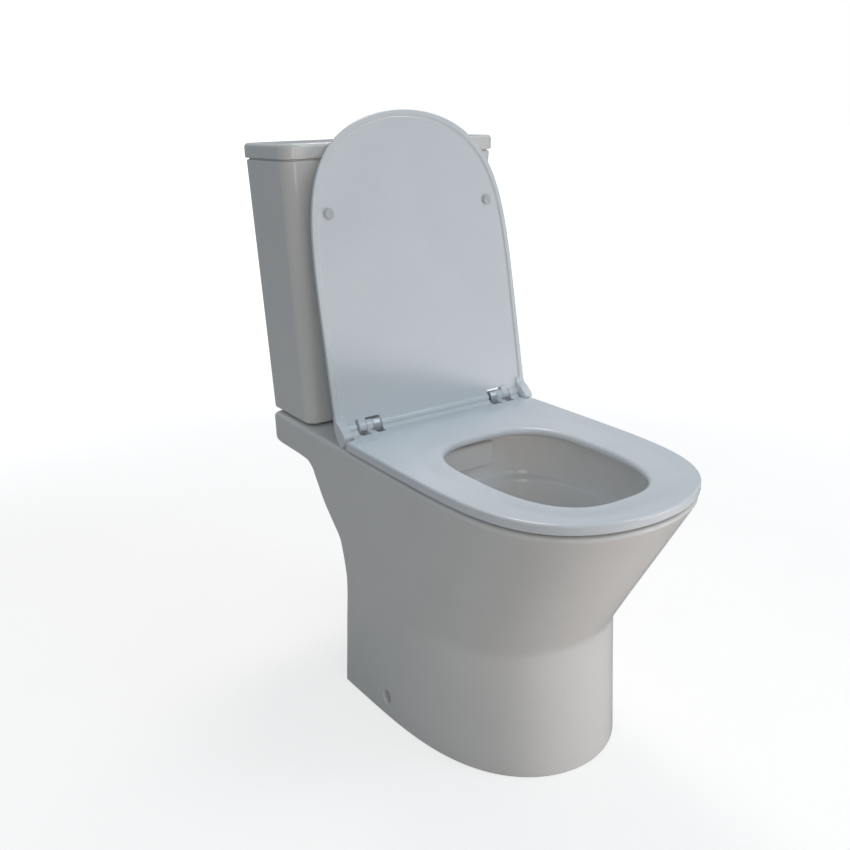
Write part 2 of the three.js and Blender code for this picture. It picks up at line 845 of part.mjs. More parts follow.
// Bar between two places along X with the given outline of ahead-of-hinge and height pairs
function ledge(outline, x0, x1) {
  const shape = new THREE.Shape(outline.map(([y, z]) => new THREE.Vector2(y, z)));
  const geometry = new THREE.ExtrudeGeometry(shape, { depth: x1 - x0, bevelEnabled: false });
  geometry.applyMatrix4(new THREE.Matrix4().makeBasis(
    new THREE.Vector3(0, 1, 0), new THREE.Vector3(0, 0, 1), new THREE.Vector3(1, 0, 0),
  ));
  geometry.translate(x0, 0, 0);
  return solidOf(geometry);
}

function makeRing() {
  const plate = loft([
    ringLevel(ringZ, ringFootR),
    ringLevel(ringZ + ringFootR, 0),
    ...roundShares.map(([rise, inset]) => ringLevel(ringTopZ - ringTopR * (1 - rise), inset * ringTopR)),
  ]);
  const keep = joined(
    bar(ringRearR, -ringHalf - overrun, ringHalf + overrun, hingeY, hingeZ, fineSegments),
    box(
      -ringHalf - overrun, ringHalf + overrun,
      hingeY - ringAhead - overrun, hingeY,
      ringZ - overrun, ringTopZ + overrun,
    ),
  );
  const opening = loft([
    openingLevel(ringZ - overrun, 0),
    ...dishShares.map(([depth, spread]) => (
      openingLevel(ringTopZ - depth * dishDepth, spread * dishSpread)
    )),
  ]);
  const cuts = [opening];
  for (const side of [-1, 1]) {
    const x = pairFor(side);
    cuts.push(box(...x(notchInnerX, notchOuterX), hingeY - notchAhead, hingeY + ringBehind + overrun,
      ringZ - overrun, ringTopZ + overrun));
    cuts.push(box(...x(earSlotX, ringHalf + overrun), hingeY - earSlotAhead, hingeY + ringBehind + overrun,
      ringZ - overrun, ringTopZ + overrun));
  }
  const foot = ringTopZ - overrun - hingeZ;
  const outline = [
    [-sillAhead, foot], [-sillFlatAhead, sillTop], [-sillEndAhead, sillTop], [-sillEndAhead, foot],
  ];
  const spans = [
    [gap - notchInnerX, notchInnerX - gap],
    [notchOuterX + gap, earSlotX - gap],
    [gap - earSlotX, -notchOuterX - gap],
  ];
  const sills = spans.map(([x0, x1]) => cutBy(
    ledge(outline, x0, x1),
    bar(coverRollR + gap, x0 - overrun, x1 + overrun, 0, 0),
  ).translate([0, hingeY, hingeZ]));
  return joined(cutBy(plate.intersect(keep), ...cuts), ...sills);
}

// Hinge lug: a barrel round the pin and a tongue, about the hinge axis
function makeLug(side, innerX, outerX, ahead, under, top) {
  const [x0, x1] = pairFor(side)(innerX, outerX);
  return cutBy(
    joined(bar(knuckleR, x0, x1, 0, 0), box(x0, x1, -ahead + gap, 0, under, top)),
    bar(pinR + gap, x0 - overrun, x1 + overrun, 0, 0, smallSegments),
  );
}

// Cover with the roll along its hinge line, drawn shut about the hinge axis
function coverLevel(z, inset, behind = coverBehind) {
  const loop = deeLoop({
    half: coverHalf - inset,
    start: 0,
    ahead: coverAhead - inset,
    power: ringPower,
    taper: 0,
    behind,
    cornerR: lidFootR,
    steps: seatLoopSteps,
  });
  return { z, loop: loop.map(([x, y]) => [x, y - hingeY]) };
}

function makeCover() {
  const plate = loft([
    coverLevel(coverUnder, coverFootR),
    coverLevel(coverUnder + coverFootR, 0),
    ...roundShares.map(([rise, inset]) => coverLevel(coverTop - coverEdgeR * (1 - rise), inset * coverEdgeR)),
  ]);
  const recess = loft([
    coverLevel(coverUnder - overrun, coverRecessInset, -coverRecessAhead),
    coverLevel(coverUnder + coverRecess, coverRecessInset, -coverRecessAhead),
  ]);
  const cuts = [recess];
  const rolls = [bar(coverRollR, gap - notchInnerX, notchInnerX - gap, 0, 0)];
  for (const side of [-1, 1]) {
    const x = pairFor(side);
    rolls.push(bar(coverRollR, ...x(notchOuterX + gap, earInnerX - gap), 0, 0));
    cuts.push(box(...x(notchInnerX, notchOuterX), -coverNotchAhead, coverBehind + overrun,
      coverUnder - overrun, coverTop + overrun));
    cuts.push(box(...x(earInnerX - gap, coverHalf + overrun), earShares[0][0] * earReach - gap,
      coverBehind + overrun, coverUnder - overrun, coverTop + overrun));
  }
  return joined(cutBy(plate, ...cuts), ...rolls);
}

// End block of the cover: it reaches down past the ring at the hinge
function makeEar(side) {
  const outline = earShares.map(([y, z]) => [y * earReach, z * earReach]);
  return ledge(outline, ...pairFor(side)(earInnerX, earOuterX));
}

// Hinge post with its base plate, drawn for one side, standing on the deck
function makePost(side) {
  const x = pairFor(side);
  const baseZ = rimZ + gap;
  const boltX = side * seatBoltX;
  const body = joined(
    box(...x(plateInnerX, postOuterX), hingeY - plateHalfY, hingeY + plateHalfY, baseZ, plateTopZ),
    box(...x(postInnerX, postOuterX), hingeY - knuckleR, hingeY + knuckleR, baseZ, hingeZ),
    bar(knuckleR, ...x(postInnerX, postOuterX), hingeY, hingeZ),
  );
  return cutBy(
    body,
    bar(pinR + gap, ...x(postInnerX - overrun, postOuterX + overrun), hingeY, hingeZ, smallSegments),
    drum(seatBoltR + gap, baseZ - overrun, plateTopZ + overrun, boltX, hingeY, smallSegments),
    drum(seatHeadR + gap, plateTopZ - seatHeadHeight - gap, plateTopZ + overrun, boltX, hingeY),
  );
}

// Wing nut about its own axis, top at 0
function makeWingNut(hubR, boreR) {
  const half = wingThick / 2;
  const wings = [-1, 1].map((side) => {
    const x = pairFor(side);
    return box(...x(hubR - overrun, wingHalf), -half, half, -wingHubHeight - wingThick, -half);
  });
  return joined(sleeve(boreR, hubR, -wingHubHeight, 0, smallSegments), ...wings);
}

// Headed bolt about its own axis, underside of the head at 0
const makeBolt = (shaftR, headR, headHeight, length) => turned([
  [0, -length], [shaftR, -length], [shaftR, 0], [headR, 0], [headR, headHeight], [0, headHeight],
], smallSegments);

function makeValveBase() {
  return turned([
    [valveBoreR, shankEndZ], [shankR, shankEndZ], [shankR, floorZ + gap], [valveFlangeR, floorZ + gap],
    [valveFlangeR, floorZ + gap + valveFlangeHeight], [valveSeatR, floorZ + gap + valveFlangeHeight],
    [valveSeatR - valveSeatSlope, floorZ + gap + valveFlangeHeight + valveSeatHeight],
    [valveBoreR, floorZ + gap + valveFlangeHeight + valveSeatHeight],
  ], midSegments);
}

function makeValveFrame() {
  const footZ = floorZ + doubleGap + valveFlangeHeight;
  const capTopZ = frameCapZ + frameCapHeight;
  const pieces = [
    sleeve(frameR - frameRingWall, frameR, footZ, footZ + frameRingHeight, midSegments),
    sleeve(tubeR + overrun, frameR, frameGuideZ, frameGuideZ + frameRingHeight, midSegments),
    turned([
      [frameCapBoreR, frameCapZ], [frameR, frameCapZ], [frameR, capTopZ], [0, capTopZ],
      [0, capTopZ - frameCapPlate], [frameCapBoreR, capTopZ - frameCapPlate],
    ], midSegments),
  ];
  for (let i = 0; i < frameLegs; i += 1) {
    const leg = new THREE.BoxGeometry(frameRingWall - overrun, frameLegWidth, frameCapZ + overrun - footZ);
    leg.translate(frameR - frameRingWall / 2 - overrun / 2, 0, (frameCapZ + overrun + footZ) / 2);
    leg.rotateZ((i / frameLegs) * 2 * Math.PI + Math.PI / 2);
    pieces.push(solidOf(leg));
  }
  return cutBy(
    joined(...pieces),
    drum(rodHoleR, frameCapZ, capTopZ + overrun, -rodX, 0, smallSegments),
    drum(rodHoleR, frameCapZ, capTopZ + overrun, rodX, 0, smallSegments),
  );
}

function makeOverflowTube() {
  const flangeZ = sealZ() + sealHeight + gap;
  return turned([
    [tubeBoreR, tubeTailZ], [tubeR, tubeTailZ], [tubeR, flangeZ], [tubeFlangeR, flangeZ],
    [tubeFlangeR, flangeZ + tubeFlangeHeight], [tubeR, flangeZ + tubeFlangeHeight],
    [tubeR, tubeTopZ], [tubeBoreR, tubeTopZ],
  ], midSegments);
}

function sealZ() {
  return floorZ + doubleGap + valveFlangeHeight + valveSeatHeight;
}

// One of the two buttons: the part of a disc on one side of the split
function makeButton(side) {
  const edge = buttonSplitX + side * buttonSplit;
  const disc = drum(housingBoreR - gap, buttonZ, buttonTopZ, 0, 0, fineSegments);
  const half = side > 0
    ? box(edge, housingR, -housingR, housingR, buttonZ - overrun, buttonTopZ + overrun)
    : box(-housingR, edge, -housingR, housingR, buttonZ - overrun, buttonTopZ + overrun);
  return disc.intersect(half);
}

function makeFillValve() {
  const body = turned([
    [0, fillShankEndZ], [fillShankR, fillShankEndZ],
    [fillShankR, flangeUnderZ()], [fillFlangeR, flangeUnderZ()],
    [fillFlangeR, flangeUnderZ() + fillFlangeHeight], [fillColumnR, flangeUnderZ() + fillFlangeHeight],
    [fillColumnR, fillHeadZ], [fillHeadR, fillHeadZ], [fillHeadR, fillTopZ], [0, fillTopZ],
  ], midSegments);
  const cheeks = [];
  for (const side of [-1, 1]) {
    const y0 = side > 0 ? armHalfY + armLugGap : -armHalfY - armLugGap - armLugThick;
    cheeks.push(box(armPivotX - armLugHalfX, fillHeadR - overrun, y0, y0 + armLugThick,
      fillTopZ - overrun, fillTopZ + armLugHeight));
  }
  return cutBy(
    joined(body, ...cheeks),
    drum(fillBoreR, fillShankEndZ - overrun, fillBoreTopZ, 0, 0, smallSegments),
  );
}

function flangeUnderZ() {
  return floorZ + doubleGap + fillWasherHeight;
}

function makeFloatCup() {
  const cup = cutBy(
    drum(floatR, floatZ, floatTopZ, 0, 0, midSegments),
    cutBy(
      drum(floatR - floatWall, floatZ - overrun, floatTopZ - floatWall, 0, 0, midSegments),
      drum(floatBoreR + floatWall, floatZ - overrun * 2, floatTopZ, 0, 0, midSegments),
    ),
    drum(floatBoreR, floatZ - overrun, floatTopZ + overrun, 0, 0, midSegments),
  );
  return joined(cup, drum(floatRodR, floatTopZ - overrun, floatRodTopZ, floatRodX, 0, smallSegments));
}

function makeFloatArm() {
  return box(floatRodX - armEnd, armPivotX + armLugHalfX - overrun, -armHalfY, armHalfY,
    armZ - gap, armZ + armHeight);
}

// L bracket for one side
function makeBracket(side) {
  const x = pairFor(side);
  const middleY = hingeY - sideHoleAhead;
  const y0 = middleY - bracketHalfY;
  const y1 = middleY + bracketHalfY;
  return cutBy(
    joined(
      box(...x(bracketX - bracketThick, bracketX), y0, y1, gap, bracketHeight),
      box(...x(bracketX - bracketFoot, bracketX), y0, y1, gap, gap + bracketThick),
    ),
    bar(screwR + gap, ...x(bracketX - bracketFoot, bracketX + overrun), middleY, sideHoleZ, smallSegments),
    drum(screwR + gap, 0, bracketThick + overrun, side * bracketHoleX, middleY, smallSegments),
  );
}

const toilet = new THREE.Group();
toilet.name = 'toilet';

function addTo(parent, name, solid, material, position = [0, 0, 0], rotation = [0, 0, 0]) {
  const mesh = new THREE.Mesh(geometryOf(solid), material);
  mesh.name = name;
  mesh.position.set(...position);
  mesh.rotation.set(...rotation);
  parent.add(mesh);
  return mesh;
}

addTo(toilet, 'pan', makePan(), china);
addTo(toilet, 'cistern', makeTank(), china);

// The lid and the buttons that it carries
const lidGroup = new THREE.Group();
toilet.add(lidGroup);
addTo(lidGroup, 'cistern_lid', makeLid(), china);
addTo(lidGroup, 'button_housing', turned([
  [housingBoreR, housingEndZ], [housingR, housingEndZ], [housingR, lidTopZ + gap],
  [housingFlangeR, lidTopZ + gap],
  [housingFlangeR - housingFlangeHeight / 2, lidTopZ + gap + housingFlangeHeight],
  [housingBoreR, lidTopZ + gap + housingFlangeHeight],
], fineSegments), chrome, [0, buttonY, 0]);
const nutTopZ = lidTopZ - lidPlate - gap;
addTo(lidGroup, 'button_housing_nut',
  sleeve(housingR + gap, housingNutR, nutTopZ - housingNutHeight, nutTopZ, midSegments),
  whitePlastic, [0, buttonY, 0]);
for (const [name, side] of [['full', 1], ['half', -1]]) {
  addTo(lidGroup, `flush_button_${name}`, makeButton(side), chrome, [0, buttonY, 0]);
  addTo(lidGroup, `flush_rod_${name}`, drum(rodR, rodEndZ, buttonZ - gap, 0, 0, smallSegments),
    whitePlastic, [side * rodX, buttonY + cisternBehind - buttonBehind, 0]);
}

// The seat
addTo(toilet, 'seat_ring', makeRing(), seatPlastic);
const coverGroup = new THREE.Group();
coverGroup.position.set(0, hingeY, hingeZ);
coverGroup.rotation.x = -THREE.MathUtils.degToRad(coverOpenDeg);
toilet.add(coverGroup);
addTo(coverGroup, 'seat_cover', makeCover(), seatPlastic);

const ringBufferHeight = ringZ - rimZ - doubleGap;
const coverBufferHeight = coverUnder + coverRecess - gap - (ringTopZ - hingeZ + gap);
const underDeckZ = deckUnderZ - gap;
for (const [hand, side] of [['left', -1], ['right', 1]]) {
  addTo(toilet, `ring_buffer_rear_${hand}`,
    drum(ringBufferR, 0, ringBufferHeight, 0, 0, smallSegments), clearRubber,
    [side * ringBufferRearX, hingeY - ringBufferRearAhead, rimZ + gap]);
  addTo(toilet, `ring_buffer_front_${hand}`,
    drum(ringBufferR, 0, ringBufferHeight, 0, 0, smallSegments), clearRubber,
    [side * ringBufferFrontX, hingeY - ringBufferFrontAhead, rimZ + gap]);
  addTo(coverGroup, `cover_buffer_${hand}`,
    drum(coverBufferR, 0, coverBufferHeight, 0, 0, smallSegments), clearRubber,
    [side * coverBufferX, -coverBufferAhead, ringTopZ - hingeZ + gap]);

  // Seat hinge and its fixing
  addTo(toilet, `ring_lug_${hand}`,
    makeLug(side, ringLugInnerX, ringLugOuterX, notchAhead, ringLugZ - hingeZ, ringLugTopZ - hingeZ),
    seatPlastic, [0, hingeY, hingeZ]);
  addTo(coverGroup, `cover_lug_${hand}`,
    makeLug(side, coverLugInnerX, coverLugOuterX, coverNotchAhead, coverUnder, coverTop), seatPlastic);
  addTo(coverGroup, `cover_ear_${hand}`, makeEar(side), seatPlastic);
  addTo(toilet, `hinge_post_${hand}`, makePost(side), steel);
  const pinEnds = side > 0
    ? [postInnerX - pinEnd, coverLugOuterX + pinEnd]
    : [-coverLugOuterX - pinEnd, -postInnerX + pinEnd];
  addTo(toilet, `hinge_pin_${hand}`, bar(pinR, ...pinEnds, hingeY, hingeZ, smallSegments), steel);
  const headZ = plateTopZ - seatHeadHeight;
  addTo(toilet, `seat_bolt_${hand}`,
    makeBolt(seatBoltR, seatHeadR, seatHeadHeight - seatHeadSink, headZ - seatBoltEndZ), steel,
    [side * seatBoltX, hingeY, headZ]);
  addTo(toilet, `seat_washer_${hand}`, turned([
    [seatBoltR + gap, -seatWasherHeight], [seatWasherR * seatWasherFootShare, -seatWasherHeight],
    [seatWasherR, -seatWasherHeight / 2], [seatWasherR, 0], [seatBoltR + gap, 0],
  ], smallSegments), rubber, [side * seatBoltX, hingeY, underDeckZ]);
  addTo(toilet, `seat_nut_${hand}`, makeWingNut(seatWingHubR, seatBoltR + gap), whitePlastic,
    [side * seatBoltX, hingeY, underDeckZ - seatWasherHeight - gap]);

  // Coupling bolt between the cistern and the pan
  const couplingHeadZ = floorZ + doubleGap + couplingWasherHeight;
  addTo(toilet, `coupling_bolt_${hand}`,
    makeBolt(couplingR, couplingHeadR, couplingHeadHeight, couplingHeadZ - couplingEndZ), brass,
    [side * couplingX, couplingY, couplingHeadZ]);
  addTo(toilet, `coupling_washer_${hand}`,
    sleeve(couplingR + gap, couplingWasherR, 0, couplingWasherHeight, smallSegments), rubber,
    [side * couplingX, couplingY, floorZ + gap]);
  addTo(toilet, `deck_washer_${hand}`,
    sleeve(couplingR + gap, deckWasherR, -deckWasherHeight, 0, smallSegments), steel,
    [side * couplingX, couplingY, underDeckZ]);
  addTo(toilet, `coupling_nut_${hand}`, makeWingNut(couplingWingHubR, couplingR + gap), brass,
    [side * couplingX, couplingY, underDeckZ - deckWasherHeight - gap]);

  // Floor fixing inside the foot
  const bracketY = hingeY - sideHoleAhead;
  addTo(toilet, `floor_bracket_${hand}`, makeBracket(side), steel);
  addTo(toilet, `bracket_screw_${hand}`,
    makeBolt(screwR, screwHeadR, screwHeadHeight, bracketThick + gap), steel,
    [side * bracketHoleX, bracketY, doubleGap + bracketThick]);
  addTo(toilet, `side_screw_${hand}`,
    makeBolt(screwR, screwHeadR, screwHeadHeight, sideScrewLength), steel,
    [side * (bracketX + gap), bracketY, sideHoleZ], [0, side * Math.PI / 2, 0]);
}

// Flush valve
const valvePlace = [0, couplingY, 0];
addTo(toilet, 'flush_valve_base', makeValveBase(), whitePlastic, valvePlace);
addTo(toilet, 'flush_valve_frame', makeValveFrame(), whitePlastic, valvePlace);
addTo(toilet, 'overflow_tube', makeOverflowTube(), whitePlastic, valvePlace);
addTo(toilet, 'flush_seal',
  sleeve(tubeR + gap, sealR, sealZ(), sealZ() + sealHeight, midSegments), rubber, valvePlace);
addTo(toilet, 'flush_valve_nut',
  sleeve(shankR + gap, valveNutR, tankZ - gap - valveNutHeight, tankZ - gap, midSegments),
  whitePlastic, valvePlace);
addTo(toilet, 'doughnut_gasket',
  sleeve(shankR + gap, gasketR, recessZ + gap, gasketTopZ, midSegments), rubber, valvePlace);

// Fill valve on the right, blanking plug on the left
const fillPlace = [inletX, fillY, 0];
addTo(toilet, 'fill_valve', makeFillValve(), whitePlastic, fillPlace);
addTo(toilet, 'float_cup', makeFloatCup(), floatPlastic, fillPlace);
addTo(toilet, 'float_arm', makeFloatArm(), greyPlastic, fillPlace);
addTo(toilet, 'inlet_washer',
  sleeve(fillShankR + gap, fillFlangeR - overrun, 0, fillWasherHeight, midSegments), rubber,
  [inletX, fillY, floorZ + gap]);
addTo(toilet, 'inlet_nut',
  hexNut(fillShankR + gap, inletNutR, tankZ - gap - inletNutHeight, tankZ - gap), whitePlastic, fillPlace);

const plugPlace = [-inletX, fillY, 0];
addTo(toilet, 'inlet_plug',
  makeBolt(fillShankR, fillFlangeR, fillFlangeHeight, floorZ + gap - plugEndZ),
  whitePlastic, [-inletX, fillY, floorZ + gap]);
addTo(toilet, 'plug_nut',
  hexNut(fillShankR + gap, inletNutR, tankZ - gap - inletNutHeight, tankZ - gap), whitePlastic, plugPlace);

export default toilet;
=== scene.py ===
import json
import math
import bmesh
import bpy
from mathutils import Matrix, Vector


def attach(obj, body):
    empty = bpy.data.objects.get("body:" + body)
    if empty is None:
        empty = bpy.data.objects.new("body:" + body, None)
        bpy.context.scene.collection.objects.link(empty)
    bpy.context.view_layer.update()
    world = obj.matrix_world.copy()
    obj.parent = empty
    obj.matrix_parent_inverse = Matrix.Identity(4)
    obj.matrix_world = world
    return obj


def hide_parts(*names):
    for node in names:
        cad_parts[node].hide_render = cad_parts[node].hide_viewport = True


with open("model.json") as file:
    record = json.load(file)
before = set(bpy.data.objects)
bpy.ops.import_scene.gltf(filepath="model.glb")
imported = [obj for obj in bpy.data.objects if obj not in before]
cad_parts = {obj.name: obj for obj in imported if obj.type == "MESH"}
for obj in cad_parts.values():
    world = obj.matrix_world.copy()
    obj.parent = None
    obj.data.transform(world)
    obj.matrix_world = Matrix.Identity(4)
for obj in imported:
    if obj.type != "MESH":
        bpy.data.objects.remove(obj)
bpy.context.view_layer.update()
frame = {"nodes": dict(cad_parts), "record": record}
print("frame loaded,", len(frame["nodes"]), "nodes")

# All pieces are written in millimetres from the hinge line of the seat: y = 0 on the hinge
# pins, negative towards the user, positive towards the wall, z = 0 on the floor.
hingeLine = {"y": 113.0, "z": 441.0}
sides = {"left": -1, "right": 1}


def toScene(point):
    x, y, z = point
    return (x / 1000, (y + hingeLine["y"]) / 1000, z / 1000)


def hexToLinear(text):
    parts = [int(text[i:i + 2], 16) / 255 for i in (1, 3, 5)]
    return tuple(c / 12.92 if c <= 0.04045 else ((c + 0.055) / 1.055) ** 2.4 for c in parts) + (1.0,)


def blend(a, b, share):
    return a + (b - a) * share


def addNode(tree, kind, settings=None, values=None, links=None):
    node = tree.nodes.new(kind)
    for key, value in (settings or {}).items():
        setattr(node, key, value)
    for key, value in (values or {}).items():
        node.inputs[key].default_value = value
    for key, source in (links or {}).items():
        tree.links.new(source, node.inputs[key])
    return node


def startMaterial(name, look):
    material = bpy.data.materials.new(name)
    material.use_nodes = True
    tree = material.node_tree
    tree.nodes.clear()
    shader = addNode(tree, "ShaderNodeBsdfPrincipled", values={
        "Base Color": hexToLinear(look["colour"]),
        "Roughness": look["roughness"],
        "Metallic": look.get("metallic", 0.0),
        "IOR": look.get("ior", 1.5),
        "Transmission Weight": look.get("transmission", 0.0),
    })
    addNode(tree, "ShaderNodeOutputMaterial", links={"Surface": shader.outputs[0]})
    place = addNode(tree, "ShaderNodeTexCoord").outputs["Object"]
    return material, tree, shader, place


# Two tones that drift into each other over a patch of the given size
def driftColour(tree, shader, place, look):
    patch = addNode(tree, "ShaderNodeTexNoise",
                    values={"Scale": 1000 / look["patchMm"], "Detail": 3.0, "Roughness": 0.55},
                    links={"Vector": place})
    spread = addNode(tree, "ShaderNodeMapRange",
                     values={"From Min": 0.3, "From Max": 0.7}, links={"Value": patch.outputs["Fac"]})
    mix = addNode(tree, "ShaderNodeMix", settings={"data_type": "RGBA"},
                  links={"Factor": spread.outputs[0]})
    mix.inputs["A"].default_value = hexToLinear(look["colour"])
    mix.inputs["B"].default_value = hexToLinear(look["colourDrift"])
    tree.links.new(mix.outputs["Result"], shader.inputs["Base Color"])
    return mix


# Roughness that wanders a little, as wiped and handled surfaces do
def driftRoughness(tree, shader, place, look):
    smear = addNode(tree, "ShaderNodeTexNoise",
                    values={"Scale": 1000 / look["smearMm"], "Detail": 4.0}, links={"Vector": place})
    span = addNode(tree, "ShaderNodeMapRange",
                   values={"From Min": 0.3, "From Max": 0.7,
                           "To Min": look["roughness"] * (1 - look["smear"]),
                           "To Max": look["roughness"] * (1 + look["smear"])},
                   links={"Value": smear.outputs["Fac"]})
    tree.links.new(span.outputs[0], shader.inputs["Roughness"])


# Relief: each layer is (size of the bumps, their height), in millimetres
def relief(tree, shader, place, layers):
    normal = None
    for size, height in layers:
        bumps = addNode(tree, "ShaderNodeTexNoise",
                        values={"Scale": 1000 / size, "Detail": 2.0}, links={"Vector": place})
        links = {"Height": bumps.outputs["Fac"]}
        if normal is not None:
            links["Normal"] = normal
        step = addNode(tree, "ShaderNodeBump",
                       values={"Strength": 1.0, "Distance": height / 1000}, links=links)
        normal = step.outputs["Normal"]
    tree.links.new(normal, shader.inputs["Normal"])


# Vitreous china, slip cast and glazed: dense white body under a clear tin-white glaze.
# The eye sees a hard gloss, slow waves from casting and the faint ripple of the glaze.
glazeLook = {
    "colour": "#EAE9E7", "colourDrift": "#E6E5E3", "roughness": 0.09, "ior": 1.52,
    "patchMm": 140, "smearMm": 60, "smear": 0.3,
    # size and height of the waves and the ripple
    "relief": [(70, 0.28), (9, 0.012)],
    "speckMm": 11, "speckShare": 0.035, "speckEdge": 1.6, "speckStrength": 0.55, "speckColour": "#C9C6BD",
}


def makeGlaze():
    look = glazeLook
    material, tree, shader, place = startMaterial("glazedVitreousChina", look)
    mix = driftColour(tree, shader, place, look)
    # Iron specks in the glaze, about half a millimetre wide
    cells = addNode(tree, "ShaderNodeTexVoronoi", values={"Scale": 1000 / look["speckMm"]},
                    links={"Vector": place})
    spots = addNode(tree, "ShaderNodeMapRange",
                    values={"From Min": look["speckShare"],
                            "From Max": look["speckShare"] * look["speckEdge"],
                            "To Min": look["speckStrength"], "To Max": 0.0},
                    links={"Value": cells.outputs["Distance"]})
    speck = addNode(tree, "ShaderNodeMix", settings={"data_type": "RGBA"},
                    links={"Factor": spots.outputs[0], "A": mix.outputs["Result"]})
    speck.inputs["B"].default_value = hexToLinear(look["speckColour"])
    tree.links.new(speck.outputs["Result"], shader.inputs["Base Color"])
    driftRoughness(tree, shader, place, look)
    relief(tree, shader, place, look["relief"])
    return material


# Colour that drifts, roughness that wanders where the look has a smear, and relief
def makeDrifting(name, look):
    material, tree, shader, place = startMaterial(name, look)
    driftColour(tree, shader, place, look)
    if "smear" in look:
        driftRoughness(tree, shader, place, look)
    relief(tree, shader, place, look["relief"])
    return material


# The same china where it is left unglazed, on the foot and inside the skirt: matt, cream,
# uneven from the mould and sandy to the touch
biscuitLook = {
    "colour": "#CFC7B8", "colourDrift": "#BFB5A3", "roughness": 0.85, "patchMm": 35,
    "relief": [(30, 0.5), (1.6, 0.12)],
}

# Urea plastic, compression moulded and polished: harder and whiter than a soft plastic,
# with a mirror-like skin and only a trace of flow in it
ureaLook = {
    "colour": "#E7ECF0", "colourDrift": "#E3E9ED", "roughness": 0.11, "ior": 1.55,
    "patchMm": 90, "smearMm": 35, "smear": 0.35, "relief": [(45, 0.05), (5, 0.004)],
}

# Injection-moulded plastics: a fine spark-eroded texture and a soft sheen
mouldedSkin = {
    "roughness": 0.42, "patchMm": 25, "smearMm": 12, "smear": 0.2, "ior": 1.49,
    "relief": [(18, 0.06), (0.9, 0.012)],
}
mouldedColours = {
    "mouldedPolypropyleneWhite": {"colour": "#D9DAD7", "colourDrift": "#D2D3CF"},
    "mouldedAcetalGrey": {"colour": "#9A9D9E", "colourDrift": "#909394"},
    "mouldedStyreneBlue": {"colour": "#33619C", "colourDrift": "#2E5991"},
}


def makeMoulded(name):
    return makeDrifting(name, {**mouldedSkin, **mouldedColours[name]})


# Chromed brass, polished: nearly a mirror, dulled by finger marks
chromeLook = {
    "colour": "#D4D7DA", "colourDrift": "#C9CDD1", "roughness": 0.07, "metallic": 1.0,
    "patchMm": 12, "smearMm": 9, "smear": 0.7, "relief": [(25, 0.02)],
}

# Zinc-plated steel and turned brass: both a little blotched
platedSkin = {"metallic": 1.0, "patchMm": 7, "smearMm": 5, "smear": 0.3, "relief": [(2.5, 0.02)]}
platedColours = {
    "zincPlatedSteel": {"colour": "#A9ADB0", "colourDrift": "#92979A", "roughness": 0.38},
    "turnedBrass": {"colour": "#B8965A", "colourDrift": "#9C7C46", "roughness": 0.3},
}


def makePlated(name):
    return makeDrifting(name, {**platedSkin, **platedColours[name]})


# EPDM rubber: matt black, bloomed grey in patches
rubberLook = {
    "colour": "#1F2020", "colourDrift": "#303131", "roughness": 0.78, "patchMm": 14,
    "relief": [(1.5, 0.03)],
}

# Clear soft PVC of the buffers: milky, lets some light through
bufferLook = {
    "colour": "#E6E9EA", "colourDrift": "#DDE1E3", "roughness": 0.3, "patchMm": 6,
    "transmission": 0.25, "relief": [(3, 0.02)],
}

# Stainless steel, brushed to a satin: hairlines run along X, the way the bar was drawn
steelLook = {
    "colour": "#D6D7D7", "colourDrift": "#CBCDCE", "roughness": 0.44, "metallic": 1.0,
    "patchMm": 10, "lineMm": 0.5, "lineHeight": 0.01, "lineStretch": 0.04,
    # roughness between the hairlines and in them, less and more than the base
    "polish": 0.08, "scratch": 0.12,
}


def makeSteel():
    look = steelLook
    material, tree, shader, place = startMaterial("brushedStainlessSteel", look)
    driftColour(tree, shader, place, look)
    stretch = addNode(tree, "ShaderNodeMapping", values={"Scale": (look["lineStretch"], 1.0, 1.0)},
                      links={"Vector": place})
    lines = addNode(tree, "ShaderNodeTexNoise",
                    values={"Scale": 1000 / look["lineMm"], "Detail": 2.0},
                    links={"Vector": stretch.outputs[0]})
    span = addNode(tree, "ShaderNodeMapRange",
                   values={"To Min": look["roughness"] - look["polish"],
                           "To Max": look["roughness"] + look["scratch"]},
                   links={"Value": lines.outputs["Fac"]})
    tree.links.new(span.outputs[0], shader.inputs["Roughness"])
    step = addNode(tree, "ShaderNodeBump",
                   values={"Strength": 1.0, "Distance": look["lineHeight"] / 1000},
                   links={"Height": lines.outputs["Fac"]})
    tree.links.new(step.outputs["Normal"], shader.inputs["Normal"])
    return material


glaze = makeGlaze()
biscuit = makeDrifting("unglazedChinaBiscuit", biscuitLook)
urea = makeDrifting("mouldedUreaPlastic", ureaLook)
whitePlastic = makeMoulded("mouldedPolypropyleneWhite")
greyPlastic = makeMoulded("mouldedAcetalGrey")
bluePlastic = makeMoulded("mouldedStyreneBlue")
chrome = makeDrifting("polishedChrome", chromeLook)
steel = makeSteel()
zinc = makePlated("zincPlatedSteel")
brass = makePlated("turnedBrass")
rubber = makeDrifting("mouldedEpdmRubber", rubberLook)
vinyl = makeDrifting("clearSoftVinyl", bufferLook)
print("materials made")


def newObject(name, points, faces, material):
    mesh = bpy.data.meshes.new(name)
    mesh.from_pydata([toScene(p) for p in points], [], faces)
    mesh.materials.append(material)
    work = bmesh.new()
    work.from_mesh(mesh)
    bmesh.ops.recalc_face_normals(work, faces=work.faces)
    work.to_mesh(mesh)
    work.free()
    obj = bpy.data.objects.new(name, mesh)
    bpy.context.scene.collection.objects.link(obj)
    return obj


